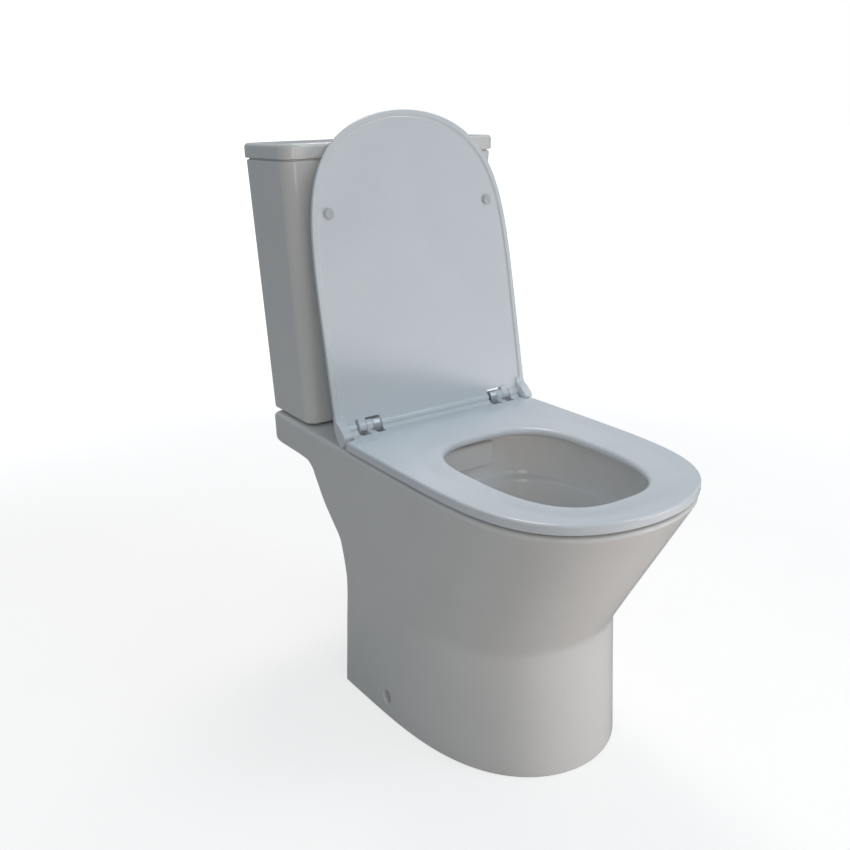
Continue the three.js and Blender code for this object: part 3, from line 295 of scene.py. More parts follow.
# Solid through a stack of closed loops, each a list of (x, y, z) with the same count
def loft(name, loops, material):
    count = len(loops[0])
    points = [p for loop in loops for p in loop]
    faces = []
    for k in range(len(loops) - 1):
        low, high = k * count, (k + 1) * count
        for i in range(count):
            j = (i + 1) % count
            faces.append((low + i, low + j, high + j, high + i))
    faces.append(tuple(reversed(range(count))))
    faces.append(tuple(range((len(loops) - 1) * count, len(loops) * count)))
    return newObject(name, points, faces, material)


# Turned piece round the upright line through centre; the run of (radius, z) either
# starts and ends on the axis or closes on itself
def turned(name, run, centre, material, segments=64, axis="z"):
    points, faces, rings = [], [], []
    closed = run[0][0] > 0 or run[-1][0] > 0
    for radius, along in run:
        start = len(points)
        if radius == 0:
            points.append((0, 0, along))
            rings.append([start] * segments)
            continue
        for i in range(segments):
            turn = 2 * math.pi * i / segments
            points.append((radius * math.cos(turn), radius * math.sin(turn), along))
        rings.append(list(range(start, start + segments)))
    pairs = list(zip(rings, rings[1:])) + ([(rings[-1], rings[0])] if closed else [])
    for low, high in pairs:
        for i in range(segments):
            j = (i + 1) % segments
            corner = []
            for index in (low[i], low[j], high[j], high[i]):
                if index not in corner:
                    corner.append(index)
            if len(corner) > 2:
                faces.append(tuple(corner))
    cx, cy, cz = centre
    if axis == "x":
        points = [(z, x, y) for x, y, z in points]
    if axis == "y":
        points = [(y, z, x) for x, y, z in points]
    return newObject(name, [(x + cx, y + cy, z + cz) for x, y, z in points], faces, material)


# Rounds the corners of a flat outline, open or closed
def softened(outline, radius, steps=4, closed=True):
    count = len(outline)
    result = []
    for i, corner in enumerate(outline):
        if not closed and i in (0, count - 1):
            result.append(tuple(corner))
            continue
        before, here, after = (Vector(outline[(i + k) % count]) for k in (-1, 0, 1))
        toBefore, toAfter = before - here, after - here
        angle = toBefore.angle(toAfter, math.pi)
        reach = min(radius / math.tan(angle / 2), toBefore.length * 0.45, toAfter.length * 0.45)
        if reach < 0.02 or angle > 3.0:
            result.append(tuple(here))
            continue
        start = here + toBefore.normalized() * reach
        end = here + toAfter.normalized() * reach
        for k in range(steps + 1):
            t = k / steps
            result.append(tuple(start * (1 - t) ** 2 + here * 2 * t * (1 - t) + end * t ** 2))
    return result


# Flat outline pushed along an axis, with its two faces eased at the rim. The outline is
# given in the other two axes, in the order x, y, z.
def prism(name, outline, start, end, material, axis="x", ease=0.8, steps=3):
    middle = [sum(p[i] for p in outline) / len(outline) for i in (0, 1)]
    reach = max(math.dist(p, middle) for p in outline)
    loops = []
    for side, sign in ((start, 1), (end, -1)):
        part = []
        for k in range(steps + 1):
            turn = math.pi / 2 * k / steps
            along = side + sign * ease * (1 - math.cos(turn))
            scale = 1 - ease * (1 - math.sin(turn)) / reach
            loop = []
            for p in outline:
                spot = [middle[i] + (p[i] - middle[i]) * scale for i in (0, 1)]
                spot.insert("xyz".index(axis), along)
                loop.append(tuple(spot))
            part.append(loop)
        loops += part if sign > 0 else part[::-1]
    return loft(name, loops, material)


def easedBox(name, low, high, radius, material, steps=3):
    x0, y0, z0 = low
    x1, y1, z1 = high
    corners = [(x, y, z) for x in (x0, x1) for y in (y0, y1) for z in (z0, z1)]
    faces = [(0, 1, 3, 2), (4, 6, 7, 5), (0, 4, 5, 1), (2, 3, 7, 6), (0, 2, 6, 4), (1, 5, 7, 3)]
    obj = newObject(name, corners, faces, material)
    if radius > 0:
        work = bmesh.new()
        work.from_mesh(obj.data)
        bmesh.ops.bevel(work, geom=list(work.edges), offset=radius / 1000, segments=steps,
                        profile=0.5, affect="EDGES")
        work.to_mesh(obj.data)
        work.free()
    return obj


# Tube of one radius along a route in the middle plane, closed at both ends
def routeTube(name, route, radius, material, segments=48):
    loops = []
    for i, (y, z) in enumerate(route):
        y0, z0 = route[max(i - 1, 0)]
        y1, z1 = route[min(i + 1, len(route) - 1)]
        ahead = Vector((y1 - y0, z1 - z0)).normalized()
        loop = []
        for k in range(segments):
            turn = 2 * math.pi * k / segments
            out = radius * math.sin(turn)
            loop.append((radius * math.cos(turn), y - ahead.y * out, z + ahead.x * out))
        loops.append(loop)
    return loft(name, loops, material)


# Runs through every row of a table without overshoot. The first columns are the place,
# which sets the steps; any further columns are eased along with it.
def smoothRows(rows, spacing, placeColumns=2):
    lengths = [0.0]
    for before, after in zip(rows, rows[1:]):
        lengths.append(lengths[-1] + math.dist(before[:placeColumns], after[:placeColumns]))

    def slope(i, column):
        def rise(j):
            return (rows[j + 1][column] - rows[j][column]) / (lengths[j + 1] - lengths[j])
        if i == 0:
            return rise(0)
        if i == len(rows) - 1:
            return rise(i - 1)
        left, right = rise(i - 1), rise(i)
        return 2 * left * right / (left + right) if left * right > 0 else 0.0

    result = []
    for i in range(len(rows) - 1):
        span = lengths[i + 1] - lengths[i]
        steps = max(1, round(span / spacing))
        for k in range(steps):
            t = k / steps
            result.append(tuple(
                (2 * t ** 3 - 3 * t ** 2 + 1) * rows[i][c] + (t ** 3 - 2 * t ** 2 + t) * slope(i, c) * span
                + (3 * t ** 2 - 2 * t ** 3) * rows[i + 1][c] + (t ** 3 - t ** 2) * slope(i + 1, c) * span
                for c in range(len(rows[0]))))
    result.append(tuple(rows[-1]))
    return result


def combine(target, tools, operation):
    for tool in tools:
        step = target.modifiers.new("combine", "BOOLEAN")
        step.object = tool
        step.operation = operation
        step.solver = "MANIFOLD"
        step.material_mode = "TRANSFER"
        shaped = bpy.data.meshes.new_from_object(
            target.evaluated_get(bpy.context.evaluated_depsgraph_get()))
        target.modifiers.clear()
        target.data = shaped
        bpy.data.objects.remove(tool)
    return target


# Turns a finished mesh about a line through a point, both in the millimetre frame
def turnAbout(obj, axis, degrees, point):
    place = Vector(toScene(point))
    obj.data.transform(Matrix.Translation(place) @ Matrix.Rotation(math.radians(degrees), 4, axis)
                       @ Matrix.Translation(-place))
    return obj


def bodyOf(node):
    bodies = frame["record"]["behaviour"]["bodies"]
    return next(body for body, nodes in bodies.items() if node in nodes)


def finishPiece(obj, nodes, sharpDegrees=32):
    for polygon in obj.data.polygons:
        polygon.use_smooth = True
    obj.data.set_sharp_from_angle(angle=math.radians(sharpDegrees))
    weights = obj.modifiers.new("evenShading", "WEIGHTED_NORMAL")
    weights.keep_sharp = True
    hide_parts(*nodes)
    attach(obj, bodyOf(nodes[0]))
    return obj


def mirrored(half):
    return half + [(-x, y) for x, y in half[-2:0:-1]]


# D outline: round front, straight flanks, square back with small corners
def deeLoop(half, start, ahead, power, taper, behind, cornerRadius, frontSteps=56, cornerSteps=6):
    points = []
    for i in range(frontSteps):
        turn = (1 - i / frontSteps) * math.pi / 2
        along = math.sin(turn) ** (2 / power)
        x = 0 if i == 0 else half * (1 - taper * along) * math.cos(turn)
        points.append((x, start - (ahead + start) * along))
    for i in range(cornerSteps + 1):
        turn = math.pi / 2 * i / cornerSteps
        points.append((half - cornerRadius + cornerRadius * math.cos(turn),
                       behind - cornerRadius + cornerRadius * math.sin(turn)))
    points.append((0, behind))
    return mirrored(points)


def ovalLoop(half, front, centre, back, power, steps=120):
    points = []
    for i in range(steps):
        turn = 2 * math.pi * i / steps - math.pi / 2
        cos, sin = math.cos(turn), math.sin(turn)
        reach = front - centre if sin < 0 else centre - back
        points.append((half * math.copysign(abs(cos) ** (2 / power), cos),
                       -centre + reach * math.copysign(abs(sin) ** (2 / power), sin)))
    return points


def boxLoop(half, front, back, frontRadius, backRadius, steps=10):
    points = [(0, front)]
    for i in range(steps + 1):
        turn = math.pi / 2 * (i / steps - 1)
        points.append((half - frontRadius + frontRadius * math.cos(turn),
                       front + frontRadius + frontRadius * math.sin(turn)))
    for i in range(steps + 1):
        turn = math.pi / 2 * i / steps
        points.append((half - backRadius + backRadius * math.cos(turn),
                       back - backRadius + backRadius * math.sin(turn)))
    points.append((0, back))
    return mirrored(points)


def atHeight(loop, z):
    return [(x, y, z) for x, y in loop]


# Quarter round as (share of the height, share of the inset), from the wall to the flat
def quarterRound(steps):
    return [(math.sin(math.pi / 2 * k / steps), 1 - math.cos(math.pi / 2 * k / steps))
            for k in range(steps + 1)]


# Places that several pieces share, across from the middle and behind the hinge line
fittings = {
    "seatBoltHalf": 77.5, "boltHalf": 75.0, "valveBehind": 160.0, "inletHalf": 120.0, "inletBehind": 165.0,
    "rodHalf": 10.0, "overrun": 1.0, "gap": 0.3,
}
valvePlace = (0, fittings["valveBehind"], 0)


def cylinder(name, radius, low, high, centre, material, segments=64, axis="z"):
    run = [(0, low), (radius, low), (radius, high), (0, high)]
    return turned(name, run, centre, material, segments, axis)


# Flat ring or sleeve between two radii, with eased edges
def sleeve(name, inner, outer, low, high, ease, centre, material, segments=96):
    return turned(name, softened([(inner, low), (outer, low), (outer, high), (inner, high)], ease, 3),
                  centre, material, segments)


pan = {
    "rimHeight": 415.0, "rimHalf": 178.0, "rimAhead": 459.0, "rimPower": 6.6, "rimTaper": -0.01,
    "footHalf": 172.0, "footAhead": 355.0, "footBehind": 20.0, "footPower": 4.0, "footTaper": 0.05,
    "creaseHeight": 190.0, "creaseAhead": 336.5, "creaseSoftness": 7.0,
    "rimRadius": 7.5, "footRadius": 3.0, "flankCorner": 5.0, "deckCorner": 12.0,
    # the corners behind widen from the flank's to the deck's over this height
    "cornerStart": 345, "cornerRise": 20,
    "deckBehind": 224.0, "deckLevels": (386, 396), "rearDraft": 0.11,
    "wall": 12.0, "deckUnder": 378.0, "skirtTop": 364.0, "skirtBehind": 274.0,
    "rimVoidTop": 392.0, "rimVoidAhead": 72.0, "bowlWall": 11.0, "bowlWallTop": 401.0, "bowlEdge": 8.0,
    # height and place behind the hinge of the rear edge
    "rearEdge": [(0, 20), (121, 7), (195, 0), (228, 5), (244, 9), (259, 14), (284, 37), (303, 56),
                 (314, 65), (340, 83), (354, 95), (364, 118), (365.6, 152), (366.2, 206),
                 (368.1, 220), (371.8, 223.8), (376, 224)],
    # height, half width, front, widest place and back ahead of the hinge, roundness
    "bowl": [(407, 134.2, 420.4, 245, 91.8, 2.5), (380, 133, 417.2, 245, 93.1, 2.5),
             (362, 131.1, 412.9, 245, 95, 2.5), (350, 126.8, 406.9, 243, 99.1, 2.5),
             (345, 120, 398.8, 240, 107, 2.4), (300, 107, 373, 232, 113.2, 2.3),
             (250, 90.1, 338, 222, 119.1, 2.2), (200, 70.9, 301.9, 208, 123.8, 2.1),
             (165, 58.1, 274.1, 198, 128.1, 2), (130, 46.1, 250, 190, 134.1, 2),
             (108, 35, 231.9, 188, 146, 2), (97, 23.1, 215, 186, 158, 2), (92, 9, 198, 186, 174, 2)],
    "trapRoute": [(-190.8, 127.8), (-129.6, 112.5), (-84.6, 129.6), (-50.4, 174.6),
                  (-14.4, 202.5), (25.2, 199.8), (59.4, 185.4), (82.8, 180)],
    "trapBore": 36.0, "trapOutside": 47.0,
    "outlet": {"z": 180.0, "radius": 51.0, "bore": 40.0, "start": 68.0, "end": 118.0, "lead": 4.0,
               "leadLength": 5.0, "boreStart": 79.0, "flare": 2.0, "flareLength": 3.0},
    "sideHole": {"y": -102.0, "z": 35.0, "halfY": 8.5, "halfZ": 11.5, "outside": 168.3, "flare": 1.5},
    # boxes as their low and high corners
    "saddle": ((-42, -84, 338), (42, 213, 379)),
    "flushBox": ((-62, -100, 370), (39.8, -70, 409)),
    "flushWindow": ((-30, -96, 377), (41.5, -78, 400)),
    "flushSlot": ((-22, -96.5, 369.5), (22, -78, 379)),
    # radius and height of the cuts in the deck
    "deckRecess": [(0, 387), (46, 387), (48, 389), (48, 416), (0, 416)],
    "deckHole": 26.0, "deckHoleLow": 351.0, "deckHoleHigh": 388.0,
    "boltHole": [(0, 376), (6, 376), (6, 414), (7, 416), (0, 416)],
    "inletSlotHalf": 22.0, "inletSlot": ((140, 362), (226, 417)),
}


def softRamp(distance, softness):
    return (distance + math.hypot(distance, softness)) / 2


def clamped(share):
    return min(1.0, max(0.0, share))


def panLoop(z, inset, behind, frontSteps=56):
    p = pan
    rise = z / p["rimHeight"]
    upper = p["rimHeight"] - p["creaseHeight"]
    flare = min(1.0, softRamp(z - p["creaseHeight"], p["creaseSoftness"]) / upper)
    lowSlope = (p["creaseAhead"] - p["footAhead"]) / p["creaseHeight"]
    highSlope = (p["rimAhead"] - p["creaseAhead"]) / upper
    ahead = p["footAhead"] + lowSlope * z + (highSlope - lowSlope) * flare * upper
    back = behind - inset
    soft = clamped((z - p["cornerStart"]) / p["cornerRise"])
    return atHeight(deeLoop(
        blend(p["footHalf"], p["rimHalf"], rise) - inset,
        min(blend(p["footBehind"], 0.0, flare), back),
        ahead - inset,
        blend(p["footPower"], p["rimPower"], flare),
        blend(p["footTaper"], p["rimTaper"], flare),
        back, blend(p["flankCorner"], p["deckCorner"], soft), frontSteps), z)


# Loops of the bowl's inside, grown outwards and, towards the bottom, downwards
def bowlLoops(grow, rows, steps):
    floor = pan["bowl"][-1][0]
    loops = []
    for z, half, front, centre, back, power in rows:
        sink = clamped(1 - (z - floor) / floor)
        loops.append(atHeight(ovalLoop(half + grow, front + grow, centre, back - grow, power, steps),
                              z - grow * sink))
    return loops


def makePanOutside():
    p = pan
    rim, edge, foot, deck = p["rimHeight"], p["rimRadius"], p["footRadius"], p["deckBehind"]
    loops = []
    for up, inset in quarterRound(4)[::-1]:
        z = foot * (1 - up)
        loops.append(panLoop(z, foot * inset, p["footBehind"] - z * p["rearDraft"]))
    last = loops[-1][0][2]
    for z, y in smoothRows(p["rearEdge"], 4.0):
        if z > foot + 0.5 and z > last + 0.15:
            loops.append(panLoop(z, 0, y))
            last = z
    loops += [panLoop(z, 0, deck) for z in p["deckLevels"] + (rim - edge,)]
    loops += [panLoop(rim - edge * (1 - up), edge * inset, deck) for up, inset in quarterRound(8)[1:]]
    return loft("panChina", loops, glaze)


def makePanVoids():
    p = pan
    wall, top = p["wall"], p["skirtTop"]
    levels = [-1, 100] + list(range(170, int(top), 12)) + [top - 0.2]
    skirt = [panLoop(z, wall, p["skirtBehind"], 40) for z in levels]
    skirt += [panLoop(z, wall, p["deckBehind"], 40) for z in (top, p["deckUnder"])]
    rim = [panLoop(z, wall, -p["rimVoidAhead"], 40) for z in (top, p["rimVoidTop"])]
    return [loft("skirtVoid", skirt, biscuit), loft("rimVoid", rim, biscuit)]


# Walls of the bowl and the trapway inside the skirt, the outlet and the block under the deck
def makePanInnards(rows, route):
    p, o = pan, pan["outlet"]
    lower = [row for row in rows if row[0] < p["bowlWallTop"]]
    run = [(0, o["start"]), (o["radius"] - o["lead"], o["start"]),
           (o["radius"], o["start"] + o["leadLength"]), (o["radius"], o["end"]), (0, o["end"])]
    return [loft("bowlOutside", bowlLoops(p["bowlWall"], lower, 72)[::-1], biscuit),
            routeTube("trapOutside", route, p["trapOutside"], glaze),
            turned("spigot", softened(run, 2.5, closed=False), (0, 0, o["z"]), glaze, axis="y"),
            easedBox("saddle", *p["saddle"], 9, biscuit, 4)]


def makeWaterway(rows, route):
    p, o = pan, pan["outlet"]
    rim, edge = p["rimHeight"], p["bowlEdge"]
    top = [(rim + 2, edge + 1.2), (rim + 0.02, edge + 0.3)]
    top += [(rim - edge * (1 - up), edge * inset) for up, inset in quarterRound(8)[::-1]]
    half, front, centre, back, power = rows[0][1:]
    loops = [atHeight(ovalLoop(half + grow, front + grow, centre, back - grow, power), z)
             for z, grow in top[:-1]]
    past = o["end"] + 0.5
    run = [(0, o["boreStart"]), (o["bore"], o["boreStart"]), (o["bore"], o["end"] - o["flareLength"]),
           (o["bore"] + o["flare"], past), (0, past)]
    return [loft("bowlInside", (loops + bowlLoops(0, rows, 120))[::-1], glaze),
            routeTube("trapBore", route, p["trapBore"], glaze),
            turned("outletBore", run, (0, 0, o["z"]), glaze, axis="y")]


# Oval fixing hole low in the side, flared at the outer face
def makeSideHole(side):
    s = pan["sideHole"]
    hole = []
    for out, grow in ((-20, 0), (-1.5, 0), (-0.8, 0.25), (-0.3, 0.7), (0, s["flare"]), (6, s["flare"] * 2)):
        loop = []
        for k in range(48):
            turn = 2 * math.pi * k / 48
            loop.append((side * (s["outside"] + out), s["y"] + (s["halfY"] + grow) * math.cos(turn),
                         s["z"] + (s["halfZ"] + grow) * math.sin(turn)))
        hole.append(loop)
    return loft("sideHole", hole, glaze)


def makePanCuts():
    p, f = pan, fittings
    cuts = [easedBox("flushWindow", *p["flushWindow"], 3, glaze),
            easedBox("flushSlot", *p["flushSlot"], 0, glaze),
            turned("deckRecess", p["deckRecess"], valvePlace, biscuit),
            cylinder("deckHole", p["deckHole"], p["deckHoleLow"], p["deckHoleHigh"], valvePlace, biscuit)]
    for side in sides.values():
        for x, y in ((f["boltHalf"], f["valveBehind"]), (f["seatBoltHalf"], 0)):
            cuts.append(turned("boltHole", p["boltHole"], (side * x, y, 0), biscuit, 32))
        middle, half = side * f["inletHalf"], p["inletSlotHalf"]
        low, high = p["inletSlot"]
        cuts.append(easedBox("inletSlot", (middle - half, *low), (middle + half, *high), 0, biscuit))
        cuts.append(makeSideHole(side))
    return cuts


# The foot ring that stands on the floor is wiped clean of glaze
def wipeFoot(body):
    names = [m.name for m in body.data.materials]
    if biscuit.name not in names:
        body.data.materials.append(biscuit)
        names.append(biscuit.name)
    for polygon in body.data.polygons:
        if polygon.center.z < 0.0006:
            polygon.material_index = names.index(biscuit.name)


def makePan():
    rows = smoothRows(pan["bowl"], 5.0, 3)
    route = smoothRows(pan["trapRoute"], 6.0)
    body = makePanOutside()
    combine(body, makePanVoids(), "DIFFERENCE")
    combine(body, makePanInnards(rows, route), "UNION")
    combine(body, makeWaterway(rows, route), "DIFFERENCE")
    combine(body, [easedBox("flushBox", *pan["flushBox"], 5, glaze, 4)], "UNION")
    combine(body, makePanCuts(), "DIFFERENCE")
    wipeFoot(body)
    finishPiece(body, ["pan"])


makePan()
print("pan made")

cistern = {
    "low": 418.0, "top": 826.0, "halfLow": 170.0, "halfTop": 191.5, "frontLow": 105.0,
    "frontTop": 91.5, "back": 232.0, "cornerLow": 20.0, "cornerTop": 26.0, "cornerBack": 8.0,
    "wall": 9.0, "floor": 12.0, "footRadius": 6.0, "topRadius": 2.0,
    "ledgeInset": 4.0, "ledgeHeight": 2.2, "ledgeEase": 0.6, "insideRadius": 8.0,
    "valveHole": 29.0, "boltHole": 5.0, "inletHole": 10.5,
}


def cisternLoop(z, inset):
    c = cistern
    rise = clamped((z - c["low"]) / (c["top"] - c["low"]))
    corner = blend(c["cornerLow"], c["cornerTop"], rise)
    return atHeight(boxLoop(blend(c["halfLow"], c["halfTop"], rise) - inset,
                            blend(c["frontLow"], c["frontTop"], rise) + inset, c["back"] - inset,
                            max(corner - inset, 4), max(c["cornerBack"] - inset, 2)), z)


def makeCistern():
    c, f = cistern, fittings
    low, top, wall, floor = c["low"], c["top"], c["wall"], c["low"] + c["floor"]
    loops = [cisternLoop(low + c["footRadius"] * (1 - up), c["footRadius"] * inset)
             for up, inset in quarterRound(6)[::-1]]
    loops += [cisternLoop(blend(low, top, k / 12), 0) for k in range(1, 12)]
    loops += [cisternLoop(top - c["topRadius"] * (1 - up), c["topRadius"] * inset)
              for up, inset in quarterRound(4)]
    body = loft("cisternChina", loops, glaze)
    inset, high = c["ledgeInset"], top + c["ledgeHeight"]
    ledge = [cisternLoop(top - f["overrun"], inset), cisternLoop(high - c["ledgeEase"], inset),
             cisternLoop(high, inset + c["ledgeEase"])]
    combine(body, [loft("ledge", ledge, glaze)], "UNION")
    soft = c["insideRadius"]
    inside = [cisternLoop(floor + soft * (1 - up), wall + soft * inset)
              for up, inset in quarterRound(5)[::-1]]
    inside += [cisternLoop(top - 8, wall), cisternLoop(top + 1, wall), cisternLoop(top + 2.3, wall - 0.8)]
    start, end = low - f["overrun"], floor + f["overrun"]
    tools = [loft("cisternInside", inside, biscuit),
             cylinder("valveHole", c["valveHole"], start, end, valvePlace, biscuit)]
    for side in sides.values():
        for x, y, radius in ((f["boltHalf"], f["valveBehind"], c["boltHole"]),
                             (f["inletHalf"], f["inletBehind"], c["inletHole"])):
            tools.append(cylinder("hole", radius, start, end, (side * x, y, 0), biscuit, 32))
    combine(body, tools, "DIFFERENCE")
    finishPiece(body, ["cistern"])


makeCistern()

lid = {
    "low": 828.5, "top": 851.0, "half": 194.0, "front": 89.5, "back": 232.0, "corner": 26.0,
    "cornerBack": 8.0, "edge": 6.0, "foot": 2.0, "plate": 10.0, "rim": 22.0, "crown": 0.5,
    "lipDepth": 10.0, "lipInset": 13.8, "lipWall": 6.0, "lipEase": 1.5, "hole": 26.0, "holeBehind": 158.0,
    # share of the crown's drop, inset from the edge
    "crownSteps": ((0.5, 13), (0.15, 24), (0, 40)),
    # drop below the pocket's floor, inset from the rim
    "pocketSteps": ((4, 0), (1, 1.2), (0, 4)),
}


def lidLoop(z, inset):
    d = lid
    return atHeight(boxLoop(d["half"] - inset, d["front"] + inset, d["back"] - inset,
                            max(d["corner"] - inset, 4), max(d["cornerBack"] - inset, 2)), z)


def makeLid():
    d, over = lid, fittings["overrun"]
    low, top, foot, edge, rim = d["low"], d["top"], d["foot"], d["edge"], d["rim"]
    loops = [lidLoop(low + foot * (1 - up), foot * inset) for up, inset in quarterRound(3)[::-1]]
    loops += [lidLoop(top - d["crown"] - edge * (1 - up), edge * inset) for up, inset in quarterRound(8)]
    loops += [lidLoop(top - d["crown"] * share, inset) for share, inset in d["crownSteps"]]
    body = loft("lidChina", loops, glaze)
    ceiling = top - d["plate"]
    pocket = [lidLoop(low - over, rim)]
    pocket += [lidLoop(ceiling - drop, rim + inset) for drop, inset in d["pocketSteps"]]
    combine(body, [loft("pocket", pocket, biscuit)], "DIFFERENCE")
    under, inset, ease = low - d["lipDepth"], d["lipInset"], d["lipEase"]
    lip = loft("lip", [lidLoop(under, inset + ease), lidLoop(under + ease, inset),
                       lidLoop(low + over, inset)], biscuit)
    inner = inset + d["lipWall"]
    inside = [lidLoop(under - over, inner - 0.5), lidLoop(under + over, inner),
              lidLoop(low + 2 * over, inner)]
    combine(lip, [loft("lipInside", inside, biscuit)], "DIFFERENCE")
    combine(body, [lip], "UNION")
    hole = cylinder("lidHole", d["hole"], low, top + over, (0, d["holeBehind"], 0), biscuit)
    combine(body, [hole], "DIFFERENCE")
    finishPiece(body, ["cistern_lid"])


makeLid()
print("cistern and lid made")

seat = {
    "half": 180.0, "ahead": 458.0, "power": 6.6, "low": 419.5, "top": 433.5, "rearRadius": 21.4,
    "behind": 20.0, "rearCorner": 5.0, "edge": 3.5, "foot": 1.8, "crown": 0.4,
    # share of the crown's drop, inset from the edge
    "crownSteps": ((0.45, 13), (0.1, 22), (0, 30)),
    "openingHalf": 107.0, "openingFront": 396.5, "openingCentre": 230.0, "openingBack": 114.0,
    "openingPower": 2.8, "openingEdge": 6.0,
    # the opening's lower edge: height above the underside, growth of the outline
    "openingFoot": ((-1, 2.5), (0, 1.6), (1, 0.6), (2.5, 0)),
    # the top dips towards the opening
    "dishDrop": 4.0, "dishWide": 45.0, "dishSteps": 12,
    "notchAhead": 20.0, "notchBehind": 24.0, "notchOver": 4.0, "notchRadius": 1.5,
    "earSlot": 163.5, "earSlotAhead": 28.0, "earSlotRadius": 2.0,
    # low sill along the hinge, (behind, above) the hinge pins, and its clearance circle
    "sill": [(-13.2, -7.6), (-12.4, -7.3), (-10.6, -5.4), (-8.6, -3.5), (-7.6, -3.0), (-2, -3.0),
             (-2, -8.5), (-13.2, -8.5)],
    "sillClearance": 7.3,
    "lugAhead": 21.5, "lugLow": 424.0, "lugTop": 434.8,
}

hinges = {
    "knuckle": 9.0, "pin": 3.0, "pinEnds": (105.6, 145.4), "pinEase": 0.7, "pinHole": 3.3, "holeReach": 3.0,
    "notchInner": 104.0, "notchOuter": 147.0, "edgeEase": 0.8,
    "postInner": 107.0, "postOuter": 119.4, "ringLug": (119.9, 131.2), "coverLug": (131.7, 144.0),
    "plateInner": 64.0, "plateHalf": 13.0, "plateLow": 415.3, "plateTop": 419.2, "plateCorner": 6.0,
    "boltHole": 3.3, "counterbore": 6.6, "counterboreDepth": 2.1, "headDrop": 1.8,
    "boltLow": 352.0, "threadLow": 352.5, "threadTop": 400.0,
    # radius and height above the underside of the bolt's head
    "head": [(5.9, 0), (6.3, 0.4), (6.2, 1.2), (5.6, 1.7), (0, 1.7)],
    "crossReach": 3.0, "crossDepth": 1.2,
}


def pair(side, inner, outer):
    return (inner, outer) if side > 0 else (-outer, -inner)


def seatLoop(z, inset, half, ahead, behind, corner):
    return atHeight(deeLoop(half - inset, 0.0, ahead - inset, seat["power"], 0.0, behind, corner,
                            frontSteps=72), z)


def openingLoop(z, grow):
    s = seat
    return atHeight(ovalLoop(s["openingHalf"] + grow, s["openingFront"] + grow, s["openingCentre"],
                             s["openingBack"] - grow, s["openingPower"]), z)


# A barrel round the pin and a tongue that runs into the seat or the cover
def makeLug(side, span, ahead, low, top, material):
    x0, x1 = pair(side, *span)
    radius, ease = hinges["knuckle"], hinges["edgeEase"]
    barrel = turned("barrel", softened([(0, x0), (radius, x0), (radius, x1), (0, x1)], ease, 3, False),
                    (0, 0, hingeLine["z"]), material, 48, "x")
    tongue = easedBox("tongue", (x0, -ahead, low), (x1, 0, top), ease, material, 2)
    return combine(barrel, [tongue], "UNION")


def pinHole(side):
    h = hinges
    x0, x1 = pair(side, h["notchInner"] - h["holeReach"], h["notchOuter"] + h["holeReach"])
    return cylinder("pinHole", h["pinHole"], x0, x1, (0, 0, hingeLine["z"]), greyPlastic, 32, "x")


# Stretches of the hinge line that its notches leave free, out to the given place
def hingeSpans(outer):
    inner, start = hinges["notchInner"] - fittings["gap"], hinges["notchOuter"] + fittings["gap"]
    return [(-inner, inner)] + [pair(side, start, outer) for side in sides.values()]


def makeOpening():
    s = seat
    edge, drop = s["openingEdge"], s["dishDrop"]
    top = s["top"] - drop
    loops = [openingLoop(s["low"] + up, grow) for up, grow in s["openingFoot"]]
    loops += [openingLoop(top - edge * (1 - up), edge * inset) for up, inset in quarterRound(8)]
    for k in range(1, s["dishSteps"] + 1):
        share = k / s["dishSteps"]
        loops.append(openingLoop(top + drop * share * share * (3 - 2 * share),
                                 blend(edge, s["dishWide"], share)))
    loops.append(openingLoop(s["top"] + 0.4, s["dishWide"] + 9))
    return loft("opening", loops, urea)


def makeSill():
    s, z = seat, hingeLine["z"]
    outline = [(y, z + up) for y, up in s["sill"]]
    parts = [prism("sill", outline, x0, x1, urea, ease=0.4, steps=2)
             for x0, x1 in hingeSpans(s["earSlot"] - fittings["gap"])]
    clear = cylinder("sillClearance", s["sillClearance"], -s["half"], s["half"], (0, 0, z), urea, 128, "x")
    return combine(combine(parts[0], parts[1:], "UNION"), [clear], "DIFFERENCE")


def makeRing():
    s, h, over = seat, hinges, fittings["overrun"]
    low, top, foot, edge = s["low"], s["top"], s["foot"], s["edge"]

    def loop(height, inset):
        return seatLoop(height, inset, s["half"], s["ahead"], s["behind"], s["rearCorner"])

    loops = [loop(low + foot * (1 - up), foot * inset) for up, inset in quarterRound(4)[::-1]]
    loops += [loop(top - s["crown"] - edge * (1 - up), edge * inset) for up, inset in quarterRound(8)]
    loops += [loop(top - s["crown"] * share, inset) for share, inset in s["crownSteps"]]
    body = loft("seatRingUrea", loops, urea)
    wide = s["half"] + over
    keep = cylinder("keep", s["rearRadius"], -wide, wide, (0, 0, hingeLine["z"]), urea, 128, "x")
    front = easedBox("keepFront", (-wide, -s["ahead"] - over, low - over), (wide, 0.5, top + over), 0, urea)
    combine(keep, [front], "UNION")
    combine(body, [keep], "INTERSECT")

    tools = [makeOpening()]
    under, above = low - s["notchOver"], top + s["notchOver"]
    for side in sides.values():
        x0, x1 = pair(side, h["notchInner"], h["notchOuter"])
        tools.append(easedBox("notch", (x0, -s["notchAhead"], under), (x1, s["notchBehind"], above),
                              s["notchRadius"], urea))
        x0, x1 = pair(side, s["earSlot"], s["half"] + s["notchOver"])
        tools.append(easedBox("earSlot", (x0, -s["earSlotAhead"], under), (x1, s["notchBehind"], above),
                              s["earSlotRadius"], urea))
    combine(body, tools, "DIFFERENCE")
    combine(body, [makeSill()], "UNION")
    for side in sides.values():
        combine(body, [makeLug(side, h["ringLug"], s["lugAhead"], s["lugLow"], s["lugTop"], urea)], "UNION")
        combine(body, [pinHole(side)], "DIFFERENCE")
    finishPiece(body, ["seat_ring", "ring_lug_left", "ring_lug_right"])


